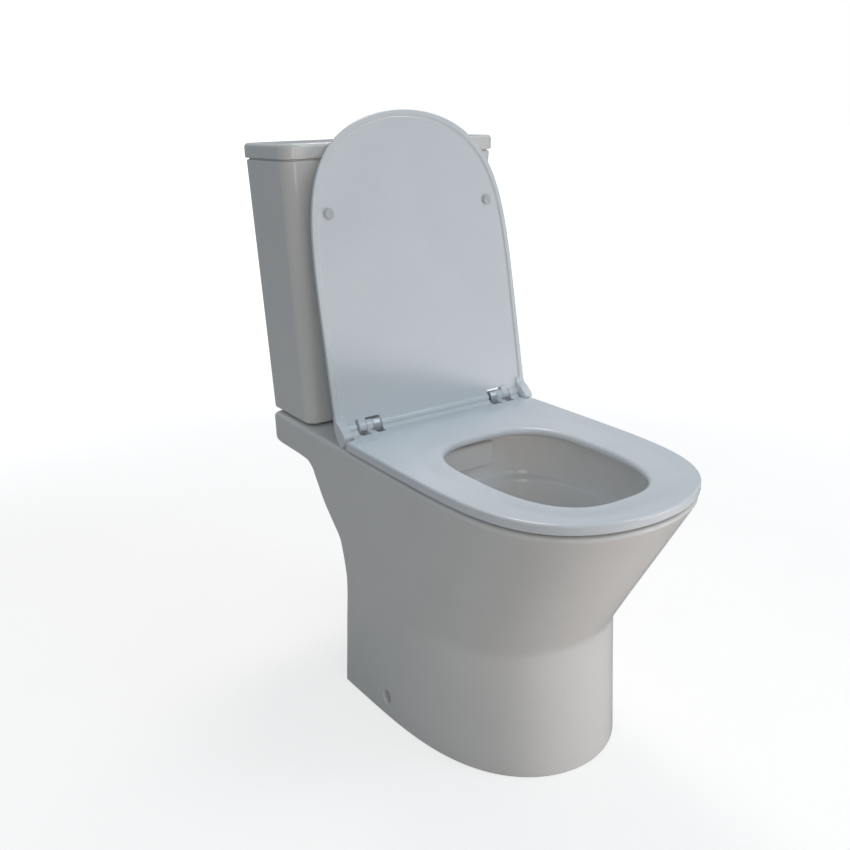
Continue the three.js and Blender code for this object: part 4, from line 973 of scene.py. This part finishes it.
cover = {
    "half": 181.3, "ahead": 459.5, "under": -5.5, "top": 3.6, "behind": 4.0, "rearCorner": 2.0,
    "openDegrees": -100.8, "edge": 4.6, "foot": 1.4, "crown": 0.4, "roll": 7.0,
    # share of the crown's drop, inset from the edge
    "crownSteps": ((0.4, 14), (0, 30)),
    "recessInset": 8.0, "recess": 3.0, "recessAhead": 4.0,
    # the recess from its mouth to its floor: height from the underside, inset
    "recessMouth": ((-1, -1.5), (0, -0.7), (0.7, 0)),
    # and drop below its floor, inset
    "recessFloor": ((1.4, 0.6), (0.5, 1.5), (0, 3.2)),
    "notchAhead": 12.0, "notchBehind": 12.0, "notchUnder": 12.0, "notchOver": 9.0, "notchRadius": 1.2,
    "earInner": 166.0, "earOuter": 180.9, "earEase": 1.5, "earCorner": 3.5, "earRoomAhead": 14.0,
    # (behind, above) the hinge pins, shut
    "earOutline": [(-22.1, 3.6), (-1, 3.6), (14, -1), (22.5, -7.5), (23.6, -9.5), (21.5, -13.3),
                   (13.5, -21), (8.5, -23.8), (4.5, -22.5), (-7.6, -13.7), (-14.4, -5.5), (-22.1, -5.5)],
}


def swingOpen(obj):
    return turnAbout(obj, "X", cover["openDegrees"], (0, 0, hingeLine["z"]))


def coverLoop(height, inset, behind):
    c = cover
    return seatLoop(hingeLine["z"] + height, inset, c["half"], c["ahead"], behind, c["rearCorner"])


# Wide shallow recess under the cover
def makeRecess():
    c = cover
    base = c["under"] + c["recess"]
    steps = [(c["under"] + up, inset) for up, inset in c["recessMouth"]]
    steps += [(base - drop, inset) for drop, inset in c["recessFloor"]]
    return loft("recess", [coverLoop(height, c["recessInset"] + inset, -c["recessAhead"] - inset)
                           for height, inset in steps], urea)


def makeEar(side):
    c, h, z = cover, hinges, hingeLine["z"]
    outline = [(y, z + up) for y, up in softened(c["earOutline"], c["earCorner"], 5)]
    x0, x1 = pair(side, c["earInner"], c["earOuter"])
    return [prism("ear", outline, x0, x1, urea, ease=c["earEase"], steps=4),
            makeLug(side, h["coverLug"], c["notchAhead"] + 1.5, z + c["under"], z + c["top"], urea)]


# Drawn shut, then swung up against the cistern
def makeCover():
    c, h, z = cover, hinges, hingeLine["z"]
    foot, edge, behind = c["foot"], c["edge"], c["behind"]
    loops = [coverLoop(c["under"] + foot * (1 - up), foot * inset, behind)
             for up, inset in quarterRound(4)[::-1]]
    loops += [coverLoop(c["top"] - c["crown"] - edge * (1 - up), edge * inset, behind)
              for up, inset in quarterRound(8)]
    loops += [coverLoop(c["top"] - c["crown"] * share, inset, behind) for share, inset in c["crownSteps"]]
    body = loft("seatCoverUrea", loops, urea)
    tools = [makeRecess()]
    under, above = z - c["notchUnder"], z + c["notchOver"]
    for side in sides.values():
        x0, x1 = pair(side, h["notchInner"], h["notchOuter"])
        tools.append(easedBox("notch", (x0, -c["notchAhead"], under), (x1, c["notchBehind"], above),
                              c["notchRadius"], urea))
        x0, x1 = pair(side, c["earInner"] + 0.6, c["half"] + 4)
        tools.append(easedBox("earRoom", (x0, -c["earRoomAhead"], under), (x1, c["notchBehind"], above),
                              0, urea))
    combine(body, tools, "DIFFERENCE")
    for side in sides.values():
        combine(body, makeEar(side), "UNION")
        combine(body, [pinHole(side)], "DIFFERENCE")
    rolls = [turned("roll", softened([(0, x0), (c["roll"], x0), (c["roll"], x1), (0, x1)], h["edgeEase"], 3,
                                     False), (0, 0, z), urea, 64, "x")
             for x0, x1 in hingeSpans(c["earInner"] + 1)]
    combine(body, rolls, "UNION")
    swingOpen(body)
    nodes = ["seat_cover"] + [f"cover_{part}_{hand}" for part in ("lug", "ear") for hand in sides]
    finishPiece(body, nodes)


makeRing()
makeCover()
print("seat ring and cover made")

buffers = {
    "ringRadius": 11.0, "ringHeight": 3.9, "coverRadius": 8.0, "coverHeight": 4.4,
    # name: across, ahead of the hinge
    "ring": {"rear": (150, 95), "front": (100, 392)},
    "cover": (145, 316), "coverUnder": 7.2,
}


# Soft buttons under the ring and the cover: a rounded pad with a dimple
def pad(radius, height):
    return [(0, height), (radius - 0.6, height), (radius, height - 0.6), (radius, height * 0.45),
            (radius * 0.96, height * 0.2), (radius * 0.85, 0.0), (radius * 0.35, 0.0),
            (radius * 0.25, height * 0.15), (0, height * 0.18)]


def makeBuffers():
    b = buffers
    for hand, side in sides.items():
        for place, (x, ahead) in b["ring"].items():
            part = turned(f"ringBuffer.{place}.{hand}", pad(b["ringRadius"], b["ringHeight"]),
                          (side * x, -ahead, hinges["plateLow"]), vinyl, 48)
            finishPiece(part, [f"ring_buffer_{place}_{hand}"])
        x, ahead = b["cover"]
        part = turned(f"coverBuffer.{hand}", pad(b["coverRadius"], b["coverHeight"]),
                      (side * x, -ahead, hingeLine["z"] - b["coverUnder"]), vinyl, 48)
        finishPiece(swingOpen(part), [f"cover_buffer_{hand}"])


def holeTool(radius, low, high, x, y, material, segments=32):
    return cylinder("hole", radius, low, high, (x, y, 0), material, segments)


# Cross recess for a screwdriver, as two tapered slots
def crossTools(x, y, top, reach, depth, material):
    return [easedBox("cross", (x - a, y - b, top - depth), (x + a, y + b, top + 1), 0.2, material, 1)
            for a, b in ((reach, 0.55), (0.55, reach))]


# Rings of a screw thread, drawn a little coarser than the real pitch
def thread(radius, low, high, pitch=1.5, depth=0.45):
    run = [(radius - depth, low)]
    count = round((high - low) / pitch)
    for k in range(count):
        run += [(radius, low + (k + 0.5) * (high - low) / count),
                (radius - depth, low + (k + 1) * (high - low) / count)]
    return run


# Plate on the deck with the upright that carries the pin
def makePost(hand, side):
    h, z = hinges, hingeLine["z"]
    low, top, r = h["plateLow"], h["plateTop"], h["knuckle"]
    x0, x1 = pair(side, h["plateInner"], h["postOuter"])
    corners = [(x0, -h["plateHalf"]), (x1, -h["plateHalf"]), (x1, h["plateHalf"]), (x0, h["plateHalf"])]
    body = prism(f"hingePost.{hand}", softened(corners, h["plateCorner"], 6), low, top, steel, "z",
                 h["pinEase"])
    arch = [(r * math.cos(math.pi * k / 20), z + r * math.sin(math.pi * k / 20)) for k in range(21)]
    x0, x1 = pair(side, h["postInner"], h["postOuter"])
    upright = prism("upright", [(-r, low + 0.3), (r, low + 0.3)] + arch, x0, x1, steel, ease=h["edgeEase"])
    combine(body, [upright], "UNION")
    x, over = side * fittings["seatBoltHalf"], fittings["overrun"]
    combine(body, [pinHole(side), holeTool(h["boltHole"], low - over, top + over, x, 0, steel),
                   holeTool(h["counterbore"], top - h["counterboreDepth"], top + over, x, 0, steel, 48)],
            "DIFFERENCE")
    finishPiece(body, [f"hinge_post_{hand}"])


def makeHinges():
    h = hinges
    r, ease, head = h["pin"], h["pinEase"], h["plateTop"] - h["headDrop"]
    for hand, side in sides.items():
        makePost(hand, side)
        x0, x1 = pair(side, *h["pinEnds"])
        run = [(0, x0), (r - ease, x0), (r, x0 + ease), (r, x1 - ease), (r - ease, x1), (0, x1)]
        pin = turned(f"hingePin.{hand}", run, (0, 0, hingeLine["z"]), steel, 32, "x")
        finishPiece(pin, [f"hinge_pin_{hand}"])
        x = side * fittings["seatBoltHalf"]
        run = [(0, h["boltLow"])] + thread(r, h["threadLow"], h["threadTop"])
        run += [(r, h["threadTop"] + 1), (r, head)] + [(radius, head + up) for radius, up in h["head"]]
        bolt = turned(f"seatBolt.{hand}", run, (x, 0, 0), steel, 40)
        crossTop = head + h["head"][-1][1]
        combine(bolt, crossTools(x, 0, crossTop, h["crossReach"], h["crossDepth"], steel), "DIFFERENCE")
        finishPiece(bolt, [f"seat_bolt_{hand}"])


makeBuffers()
makeHinges()
print("hinges made")


wingNut = {
    "height": 10.0, "ease": 0.8, "wingHalf": 2.0, "wingCorner": 2.0,
    # a wing past the hub: reach from the axis, height from the top face
    "tip": [(17, -14), (18, -11), (17.2, -3.5), (14, -2)],
}


# Wing nut with its top face at the given height
def makeWings(name, x, y, top, hub, bore, material):
    w = wingNut
    body = sleeve(name, bore, hub, top - w["height"], top, w["ease"], (x, y, 0), material, 40)
    shape = [(hub - 1, -w["height"]), (hub + 3, w["tip"][0][1])] + w["tip"] + [(hub - 1, w["tip"][-1][1])]
    wings = []
    for side in sides.values():
        outline = softened([(x + side * a, top + b) for a, b in shape], w["wingCorner"], 4)
        wings.append(prism("wing", outline, y - w["wingHalf"], y + w["wingHalf"], material, "y", w["ease"]))
    return combine(body, wings, "UNION")


# Profiles are rows of radius and height; a sleeve is inner and outer radius, low, high, ease
fastenings = {
    "seatWasher": [(3.3, 371.3), (8.4, 371.3), (12, 374.5), (12, 377.7), (3.3, 377.7)],
    # height of the top face, hub, bore
    "seatNut": (371, 8, 3.3), "couplingNut": (374.2, 9, 4.3),
    "boltRadius": 4.0, "boltLow": 344.0, "threadLow": 344.5, "threadTop": 385.0,
    "boltHead": [(4, 433.3), (7.4, 433.3), (8, 433.9), (7.8, 436.4), (6, 438), (0, 438.3)],
    "slotLength": 9.0, "slotHalf": 0.8, "slotLow": 436.6, "slotTop": 440.0,
    "couplingWasher": (4.3, 13, 430.3, 433, 0.9), "deckWasher": (4.3, 15, 374.5, 377.7, 0.6),
}

floorBracket = {
    "inner": 121.0, "outer": 155.0, "inside": 151.9, "under": 0.3, "over": 3.4, "height": 58.0,
    "bend": 1.4, "ease": 0.5, "front": -116.0, "back": -88.0, "hole": 3.3,
    # the screw into the floor and the one through the side of the pan
    "floorScrewHalf": 138.0, "screwPlace": -102.0, "sideScrewHeight": 35.0, "sideScrewSeat": 155.3,
    "floorScrewSeat": 3.6, "floorScrewShank": 3.3, "screwRadius": 3.0,
    "head": [(3, 0), (5.2, 0), (5.6, 0.5), (5.2, 1.8), (3.6, 2.8), (0, 3)],
    "crossReach": 2.4, "crossDepth": 1.3,
    "point": [(0, -24), (1.4, -22.6)], "threadLow": -21.5, "threadTop": -1.0, "pitch": 2.0,
    "threadDepth": 0.8,
}


def makeSeatFixings(hand, side):
    f = fastenings
    x = side * fittings["seatBoltHalf"]
    washer = turned(f"seatWasher.{hand}", softened(f["seatWasher"], 0.7, 3), (x, 0, 0), rubber, 48)
    finishPiece(washer, [f"seat_washer_{hand}"])
    finishPiece(makeWings(f"seatNut.{hand}", x, 0, *f["seatNut"], whitePlastic),
                [f"seat_nut_{hand}"])


# Bolt that holds the cistern on the pan, with its washers and nut
def makeCoupling(hand, side):
    f = fastenings
    x, y, r = side * fittings["boltHalf"], fittings["valveBehind"], f["boltRadius"]
    run = [(0, f["boltLow"])] + thread(r, f["threadLow"], f["threadTop"])
    run += [(r, f["threadTop"] + 1)] + f["boltHead"]
    bolt = turned(f"couplingBolt.{hand}", run, (x, y, 0), brass, 40)
    slot = easedBox("slot", (x - f["slotLength"], y - f["slotHalf"], f["slotLow"]),
                    (x + f["slotLength"], y + f["slotHalf"], f["slotTop"]), 0, brass)
    combine(bolt, [slot], "DIFFERENCE")
    finishPiece(bolt, [f"coupling_bolt_{hand}"])
    for name, look, slotName in (("coupling", rubber, "rubber"), ("deck", zinc, "steel")):
        washer = sleeve(f"{name}Washer.{hand}", *f[f"{name}Washer"], (x, y, 0), look, 48)
        finishPiece(washer, [f"{name}_washer_{hand}"])
    finishPiece(makeWings(f"couplingNut.{hand}", x, y, *f["couplingNut"], brass),
                [f"coupling_nut_{hand}"])


# Angle bracket that holds the foot down, with its two screws
def makeFloorFixing(hand, side):
    b = floorBracket
    x0, x1, x2, x3 = (side * b[key] for key in ("inner", "inside", "outer", "floorScrewHalf"))
    y, z, low, high = b["screwPlace"], b["sideScrewHeight"], b["under"], b["over"]
    outline = [(x0, low), (x2, low), (x2, b["height"]), (x1, b["height"]), (x1, high), (x0, high)]
    bracket = prism(f"floorBracket.{hand}", softened(outline, b["bend"], 4), b["front"], b["back"], zinc,
                    "y", b["ease"])
    across = cylinder("hole", b["hole"], x0, x2 + side, (0, y, z), zinc, 32, "x")
    combine(bracket, [across, holeTool(b["hole"], -1, 6, x3, y, zinc)], "DIFFERENCE")
    finishPiece(bracket, [f"floor_bracket_{hand}"])

    r, shank, seatZ = b["screwRadius"], b["floorScrewShank"], b["floorScrewSeat"]
    screw = turned(f"bracketScrew.{hand}", [(0, -shank), (r, -shank)] + b["head"], (x3, y, seatZ), zinc, 32)
    top = seatZ + b["head"][-1][1]
    combine(screw, crossTools(x3, y, top, b["crossReach"], b["crossDepth"], zinc), "DIFFERENCE")
    finishPiece(screw, [f"bracket_screw_{hand}"])

    run = b["point"] + thread(r, b["threadLow"], b["threadTop"], b["pitch"], b["threadDepth"]) + b["head"]
    run = [(radius, side * (along + b["sideScrewSeat"])) for radius, along in run]
    finishPiece(turned(f"sideScrew.{hand}", run, (0, y, z), zinc, 32, "x"),
                [f"side_screw_{hand}"])


for hand, side in sides.items():
    makeSeatFixings(hand, side)
    makeCoupling(hand, side)
    makeFloorFixing(hand, side)
print("fastenings made")


# Nut with a ring of grips
def gripNut(name, x, y, low, high, radius, bore, grips, depth, material):
    def loop(z, inset):
        points = []
        for k in range(grips * 10):
            turn = 2 * math.pi * k / (grips * 10)
            r = radius - inset - depth * (0.5 - 0.5 * math.cos(grips * turn)) ** 0.7
            points.append((x + r * math.cos(turn), y + r * math.sin(turn), z))
        return points

    edge = ((0, 1.2), (0.4, 0.4), (1.2, 0))
    loops = [loop(low + up, inset) for up, inset in edge]
    loops += [loop(high - up, inset) for up, inset in edge[::-1]]
    return combine(loft(name, loops, material), [holeTool(bore, low - 1, high + 1, x, y, material, 64)],
                   "DIFFERENCE")


def hexNut(name, x, y, low, high, radius, bore, material):
    outline = [(x + radius * math.cos(math.pi * k / 3), y + radius * math.sin(math.pi * k / 3))
               for k in range(6)]
    body = prism(name, softened(outline, 2, 4), low, high, material, "z", 1.2)
    return combine(body, [holeTool(bore, low - 1, high + 1, x, y, material, 48)], "DIFFERENCE")


# Profiles are rows of radius and height, a thread is radius, low, high, pitch and depth, a
# sleeve is inner and outer radius, low, high and ease, a nut is low, high, radius and bore
flushValve = {
    "shank": [(23, 388), (28, 388)], "thread": (28.6, 389, 429, 3.2, 0.9),
    "flange": [(28, 430.3), (41, 430.3), (42, 431.2), (42, 435), (41, 436), (31, 436), (30, 436.6),
               (28.7, 440.2), (27.6, 441), (24, 441), (23, 440)],
    "cageFoot": (33, 38, 436.3, 441.3, 0.8), "cageGuide": (19, 38, 600.3, 605.3, 0.8),
    "cap": [(22, 694), (38, 694), (38, 712), (0, 712)], "capInside": [(0, 706), (22, 706)],
    "legs": 3, "legTurn": 90.0, "leg": ((33, 155.5, 436.5), (37, 164.5, 695)),
    "rodHole": (5.5, 700, 714),
    "overflow": [(15, 438), (18, 438), (18, 446.2), (27.5, 446.2), (28, 446.8), (28, 449.4), (27.2, 450.2),
                 (19.5, 450.2), (18, 452), (18, 689.2), (17.2, 690), (15.8, 690), (15, 689.2)],
    "seal": (18.3, 29.5, 441.3, 445.9, 1.2),
    "nut": (405.3, 417.7, 42, 29), "grips": 12, "gripDepth": 3.0,
    "gasket": [(29, 387.3), (47, 387.3), (47, 396), (43, 405), (29, 405)],
}


def makeCage():
    v = flushValve
    cage = sleeve("flushValveFrame", *v["cageFoot"], valvePlace, whitePlastic)
    parts = [sleeve("guide", *v["cageGuide"], valvePlace, whitePlastic),
             turned("cap", softened(v["cap"], 1.5, 4, False) + v["capInside"], valvePlace, whitePlastic, 96)]
    for k in range(v["legs"]):
        leg = easedBox("leg", *v["leg"], 1, whitePlastic, 2)
        parts.append(turnAbout(leg, "Z", v["legTurn"] + 360 / v["legs"] * k, valvePlace))
    combine(cage, parts, "UNION")
    combine(cage, [holeTool(*v["rodHole"], side * fittings["rodHalf"], fittings["valveBehind"], whitePlastic)
                   for side in (-1, 1)], "DIFFERENCE")
    return cage


def makeFlushValve():
    v = flushValve
    base = v["shank"] + thread(*v["thread"]) + v["flange"]
    for part, node, slot in (
            (turned("flushValveBase", base, valvePlace, whitePlastic, 96), "flush_valve_base",
             "white_plastic"),
            (makeCage(), "flush_valve_frame", "white_plastic"),
            (turned("overflowTube", v["overflow"], valvePlace, whitePlastic, 96), "overflow_tube",
             "white_plastic"),
            (sleeve("flushSeal", *v["seal"], valvePlace, rubber), "flush_seal", "rubber"),
            (gripNut("flushValveNut", 0, fittings["valveBehind"], *v["nut"], v["grips"], v["gripDepth"],
                     whitePlastic), "flush_valve_nut", "white_plastic"),
            (turned("doughnutGasket", softened(v["gasket"], 3, 5), valvePlace, rubber, 96),
             "doughnut_gasket", "rubber")):
        finishPiece(part, [node])


fillValve = {
    "shank": [(5, 382), (9.4, 382)], "thread": (10, 383, 431, 2.0, 0.6),
    "body": [(10, 433), (19.3, 433), (20, 433.7), (20, 438.2), (19.2, 439), (14, 439), (13, 440), (13, 552),
             (12.4, 553), (12.4, 556), (13, 557), (13, 699), (14, 700), (17.2, 700), (18, 700.8), (18, 712),
             (17.3, 713), (17.3, 716), (18, 717), (18, 738.5), (16.5, 740), (0, 740), (0, 690), (5, 690)],
    # the two cheeks that carry the arm: outline of across and height, low and high behind
    "cheek": [(129, 717), (139, 717), (139, 752), (129, 752)], "cheeks": ((153.5, 158.5), (171.5, 176.5)),
    "cup": [(14, 560), (17, 560), (17, 637), (30, 637), (30, 560), (33, 560), (33, 640), (14, 640)],
    "rod": [(0, 639), (2.5, 639), (2.5, 744.4), (1.9, 745), (0, 745)], "rodX": 96.0,
    "arm": [(90, 745.7), (138, 745.7), (138, 753), (90, 753)], "armDepth": (159, 171),
    "washer": (10.3, 19, 430.3, 432.7, 0.7), "nut": (404.7, 417.7, 19, 10.3),
    "plugShank": [(0, 400), (9.4, 400)], "plugThread": (10, 401, 429, 2.0, 0.6),
    "plug": [(10, 430.3), (19.2, 430.3), (20, 431.1), (20, 435), (18.7, 436.3), (8, 436.3), (7, 434.6),
             (0, 434.6)],
}


def makeFillValve():
    v, x, y = fillValve, fittings["inletHalf"], fittings["inletBehind"]
    place = (x, y, 0)
    body = turned("fillValve", v["shank"] + thread(*v["thread"]) + v["body"], place, whitePlastic, 64)
    combine(body, [prism("cheek", softened(v["cheek"], 4, 6), low, high, whitePlastic, "y", 0.6)
                   for low, high in v["cheeks"]], "UNION")
    finishPiece(body, ["fill_valve"])

    cup = turned("floatCup", softened(v["cup"], 1.4, 3), place, bluePlastic, 72)
    combine(cup, [turned("floatRod", v["rod"], (v["rodX"], y, 0), bluePlastic, 24)], "UNION")
    finishPiece(cup, ["float_cup"])
    arm = prism("floatArm", softened(v["arm"], 3, 5), *v["armDepth"], greyPlastic, "y", 1.0)
    finishPiece(arm, ["float_arm"])

    finishPiece(sleeve("inletWasher", *v["washer"], place, rubber, 48), ["inlet_washer"])
    finishPiece(hexNut("inletNut", x, y, *v["nut"], whitePlastic), ["inlet_nut"])
    run = v["plugShank"] + thread(*v["plugThread"]) + v["plug"]
    finishPiece(turned("inletPlug", run, (-x, y, 0), whitePlastic, 48), ["inlet_plug"])
    finishPiece(hexNut("plugNut", -x, y, *v["nut"], whitePlastic), ["plug_nut"])


buttons = {
    "behind": 158.0, "radius": 22.3, "low": 842.0, "top": 853.4, "split": -4.0, "gap": 0.5,
    # the dished top from its rim inwards: radius, drop
    "dish": [(19, 0.1), (12, 0.45), (0, 0.7)], "ease": 1.2, "easeMiddle": 0.35,
    # block that cuts the other button's share off: length, front, back, low, high
    "cut": (60, 100, 220, 830, 870),
    "housingInside": [(22.6, 818), (24.6, 818), (25.7, 819.1)], "thread": (25.7, 820, 832, 2.4, 0.7),
    "housing": [(25.7, 833), (25.7, 851.3), (36.4, 851.3), (37, 851.9), (36.8, 852.8), (35.6, 853.6),
                (33.6, 854), (24.8, 854), (23.4, 853.7), (22.6, 852.9)],
    "nut": (832.7, 840.7, 33, 26), "grips": 16, "gripDepth": 1.6,
    "rod": [(0, 711), (3.2, 711), (4, 711.8), (4, 841.2), (3.4, 841.7), (0, 841.7)],
}


def makeButtons():
    b = buttons
    place = (0, b["behind"], 0)
    housing = b["housingInside"] + thread(*b["thread"]) + b["housing"]
    finishPiece(turned("buttonHousing", housing, place, chrome, 96), ["button_housing"])
    finishPiece(gripNut("buttonHousingNut", 0, b["behind"], *b["nut"], b["grips"], b["gripDepth"],
                        whitePlastic), ["button_housing_nut"])
    r, low, top, ease, middle = (b[key] for key in ("radius", "low", "top", "ease", "easeMiddle"))
    length, front, back, under, over = b["cut"]
    for name, side in (("Full", 1), ("Half", -1)):
        run = [(0, low), (r, low), (r, top - ease), (r - middle, top - middle), (r - ease, top)]
        disc = turned(f"flushButton{name}", run + [(radius, top - drop) for radius, drop in b["dish"]],
                      place, chrome, 96)
        edge = b["split"] + side * b["gap"]
        x0, x1 = sorted((edge, edge - side * length))
        combine(disc, [easedBox("cut", (x0, front, under), (x1, back, over), 0, chrome)], "DIFFERENCE")
        finishPiece(disc, [f"flush_button_{name.lower()}"], 40)
        rod = turned(f"flushRod{name}", b["rod"], (side * fittings["rodHalf"], fittings["valveBehind"], 0),
                     whitePlastic, 32)
        finishPiece(rod, [f"flush_rod_{name.lower()}"])


makeFlushValve()
makeFillValve()
makeButtons()
print("flush fittings and buttons made")

studio = {
    "floor": {"colour": "#B9B8B6", "colourDrift": "#B3B2B0", "roughness": 0.7, "patchMm": 500},
    "floorSize": 60, "floorGlow": 0.66, "seenWhite": 1.0,
    # metres from the middle where the lift to white starts and ends
    "fadeStart": 0.9, "fadeEnd": 3.2,
    # the sky over the set: brightness at the horizon and overhead, as light and as mirrored
    "skyLight": (0.21, 0.48), "skyMirror": (0.32, 0.97), "skyColour": "#E8F5FF",
    # name: place and aim in metres, width, height, watts, colour
    "lamps": {
        "keySoftbox": ((1.6, -2.0, 2.7), (0.0, -0.2, 0.45), 1.0, 1.0, 13, "#C9EBFF"),
        "backSoftbox": ((0.6, 0.9, 2.6), (0.0, 0.0, 0.6), 0.8, 0.8, 16, "#FFECE2"),
        "leftFill": ((-1.4, -2.6, 1.1), (0.0, 0.0, 0.5), 0.7, 1.8, 9.2, "#FFF0E2"),
        "frontFill": ((-0.4, -3.0, 1.2), (0.0, 0.0, 0.6), 0.6, 1.2, 4.2, "#FFDDC4"),
        "lowPanel": ((1.1, -1.4, 0.1), (0.1, -0.4, 0.42), 0.9, 0.16, 9.5, "#FFF4F0"),
    },
    "camera": {"place": (-0.79509, -1.00383, 0.89094), "azimuth": -32.31, "elevation": 18.14,
               "roll": -1.54, "lens": 38.53, "sensor": 36.0, "shift": (0.0439, -0.0183)},
}


# A pale grey painted floor that takes the shadow. For the camera alone it is lifted to near
# white, and to full white away from the set.
def makeFloor():
    look = studio["floor"]
    material, tree, shader, place = startMaterial("paintedStudioFloor", look)
    driftColour(tree, shader, place, look)
    away = addNode(tree, "ShaderNodeVectorMath", {"operation": "LENGTH"}, links={0: place})
    lift = addNode(tree, "ShaderNodeMapRange", {"interpolation_type": "SMOOTHSTEP"}, {
        "From Min": studio["fadeStart"], "From Max": studio["fadeEnd"],
        "To Min": studio["floorGlow"], "To Max": studio["seenWhite"]},
        {"Value": away.outputs["Value"]})
    ray = addNode(tree, "ShaderNodeLightPath")
    seen = addNode(tree, "ShaderNodeMath", {"operation": "MULTIPLY"}, links={
        0: ray.outputs["Is Camera Ray"], 1: lift.outputs[0]})
    glow = addNode(tree, "ShaderNodeEmission", links={"Strength": seen.outputs[0]})
    both = addNode(tree, "ShaderNodeAddShader", links={0: shader.outputs[0], 1: glow.outputs[0]})
    out = next(node for node in tree.nodes if node.bl_idname == "ShaderNodeOutputMaterial")
    tree.links.new(both.outputs[0], out.inputs["Surface"])
    bpy.ops.mesh.primitive_plane_add(size=studio["floorSize"])
    floor = bpy.context.object
    floor.name = "studioFloor"
    floor.data.materials.append(material)


def makeLights():
    world = bpy.data.worlds.new("studioWorld")
    bpy.context.scene.world = world
    world.use_nodes = True
    tree = world.node_tree
    tree.nodes.clear()
    ray = addNode(tree, "ShaderNodeLightPath")
    seen = addNode(tree, "ShaderNodeMath", {"operation": "MAXIMUM"}, links={
        0: ray.outputs["Is Camera Ray"], 1: ray.outputs["Is Transmission Ray"]})
    along = addNode(tree, "ShaderNodeTexCoord")
    height = addNode(tree, "ShaderNodeSeparateXYZ", links={0: along.outputs["Generated"]})
    skies = []
    for low, high in (studio["skyLight"], studio["skyMirror"]):
        rise = addNode(tree, "ShaderNodeMapRange", values={"To Min": low, "To Max": high},
                       links={"Value": height.outputs["Z"]})
        skies.append(addNode(tree, "ShaderNodeBackground", values={"Color": hexToLinear(studio["skyColour"])},
                             links={"Strength": rise.outputs[0]}))
    white = addNode(tree, "ShaderNodeBackground", values={
        "Color": hexToLinear("#FFFFFF"), "Strength": studio["seenWhite"]})
    inner = addNode(tree, "ShaderNodeMixShader", links={
        0: ray.outputs["Is Glossy Ray"], 1: skies[0].outputs[0], 2: skies[1].outputs[0]})
    outer = addNode(tree, "ShaderNodeMixShader", links={
        0: seen.outputs[0], 1: inner.outputs[0], 2: white.outputs[0]})
    addNode(tree, "ShaderNodeOutputWorld", links={"Surface": outer.outputs[0]})
    for name, (place, aim, width, height, watts, colour) in studio["lamps"].items():
        data = bpy.data.lights.new(name, "AREA")
        data.shape = "RECTANGLE"
        data.size, data.size_y = width, height
        data.energy = watts
        data.color = hexToLinear(colour)[:3]
        lamp = bpy.data.objects.new(name, data)
        lamp.location = place
        lamp.visible_camera = False
        lamp.rotation_euler = (Vector(aim) - Vector(place)).to_track_quat("-Z", "Y").to_euler()
        bpy.context.scene.collection.objects.link(lamp)


def makeCamera():
    c = studio["camera"]
    a, e, roll = (math.radians(c[k]) for k in ("azimuth", "elevation", "roll"))
    ahead = Vector((-math.sin(a) * math.cos(e), math.cos(a) * math.cos(e), -math.sin(e)))
    level = Vector((math.cos(a), math.sin(a), 0))
    up = level.cross(ahead)
    right = level * math.cos(roll) + up * math.sin(roll)
    up = -level * math.sin(roll) + up * math.cos(roll)
    data = bpy.data.cameras.new("studioCamera")
    data.lens, data.sensor_width = c["lens"], c["sensor"]
    data.shift_x, data.shift_y = c["shift"]
    camera = bpy.data.objects.new("studioCamera", data)
    camera.matrix_world = Matrix.Translation(c["place"]) @ Matrix((right, up, -ahead)).transposed().to_4x4()
    bpy.context.scene.collection.objects.link(camera)
    bpy.context.scene.camera = camera


makeFloor()
makeLights()
makeCamera()
bpy.context.scene.view_settings.view_transform = "Standard"
print("floor, lights and camera made")
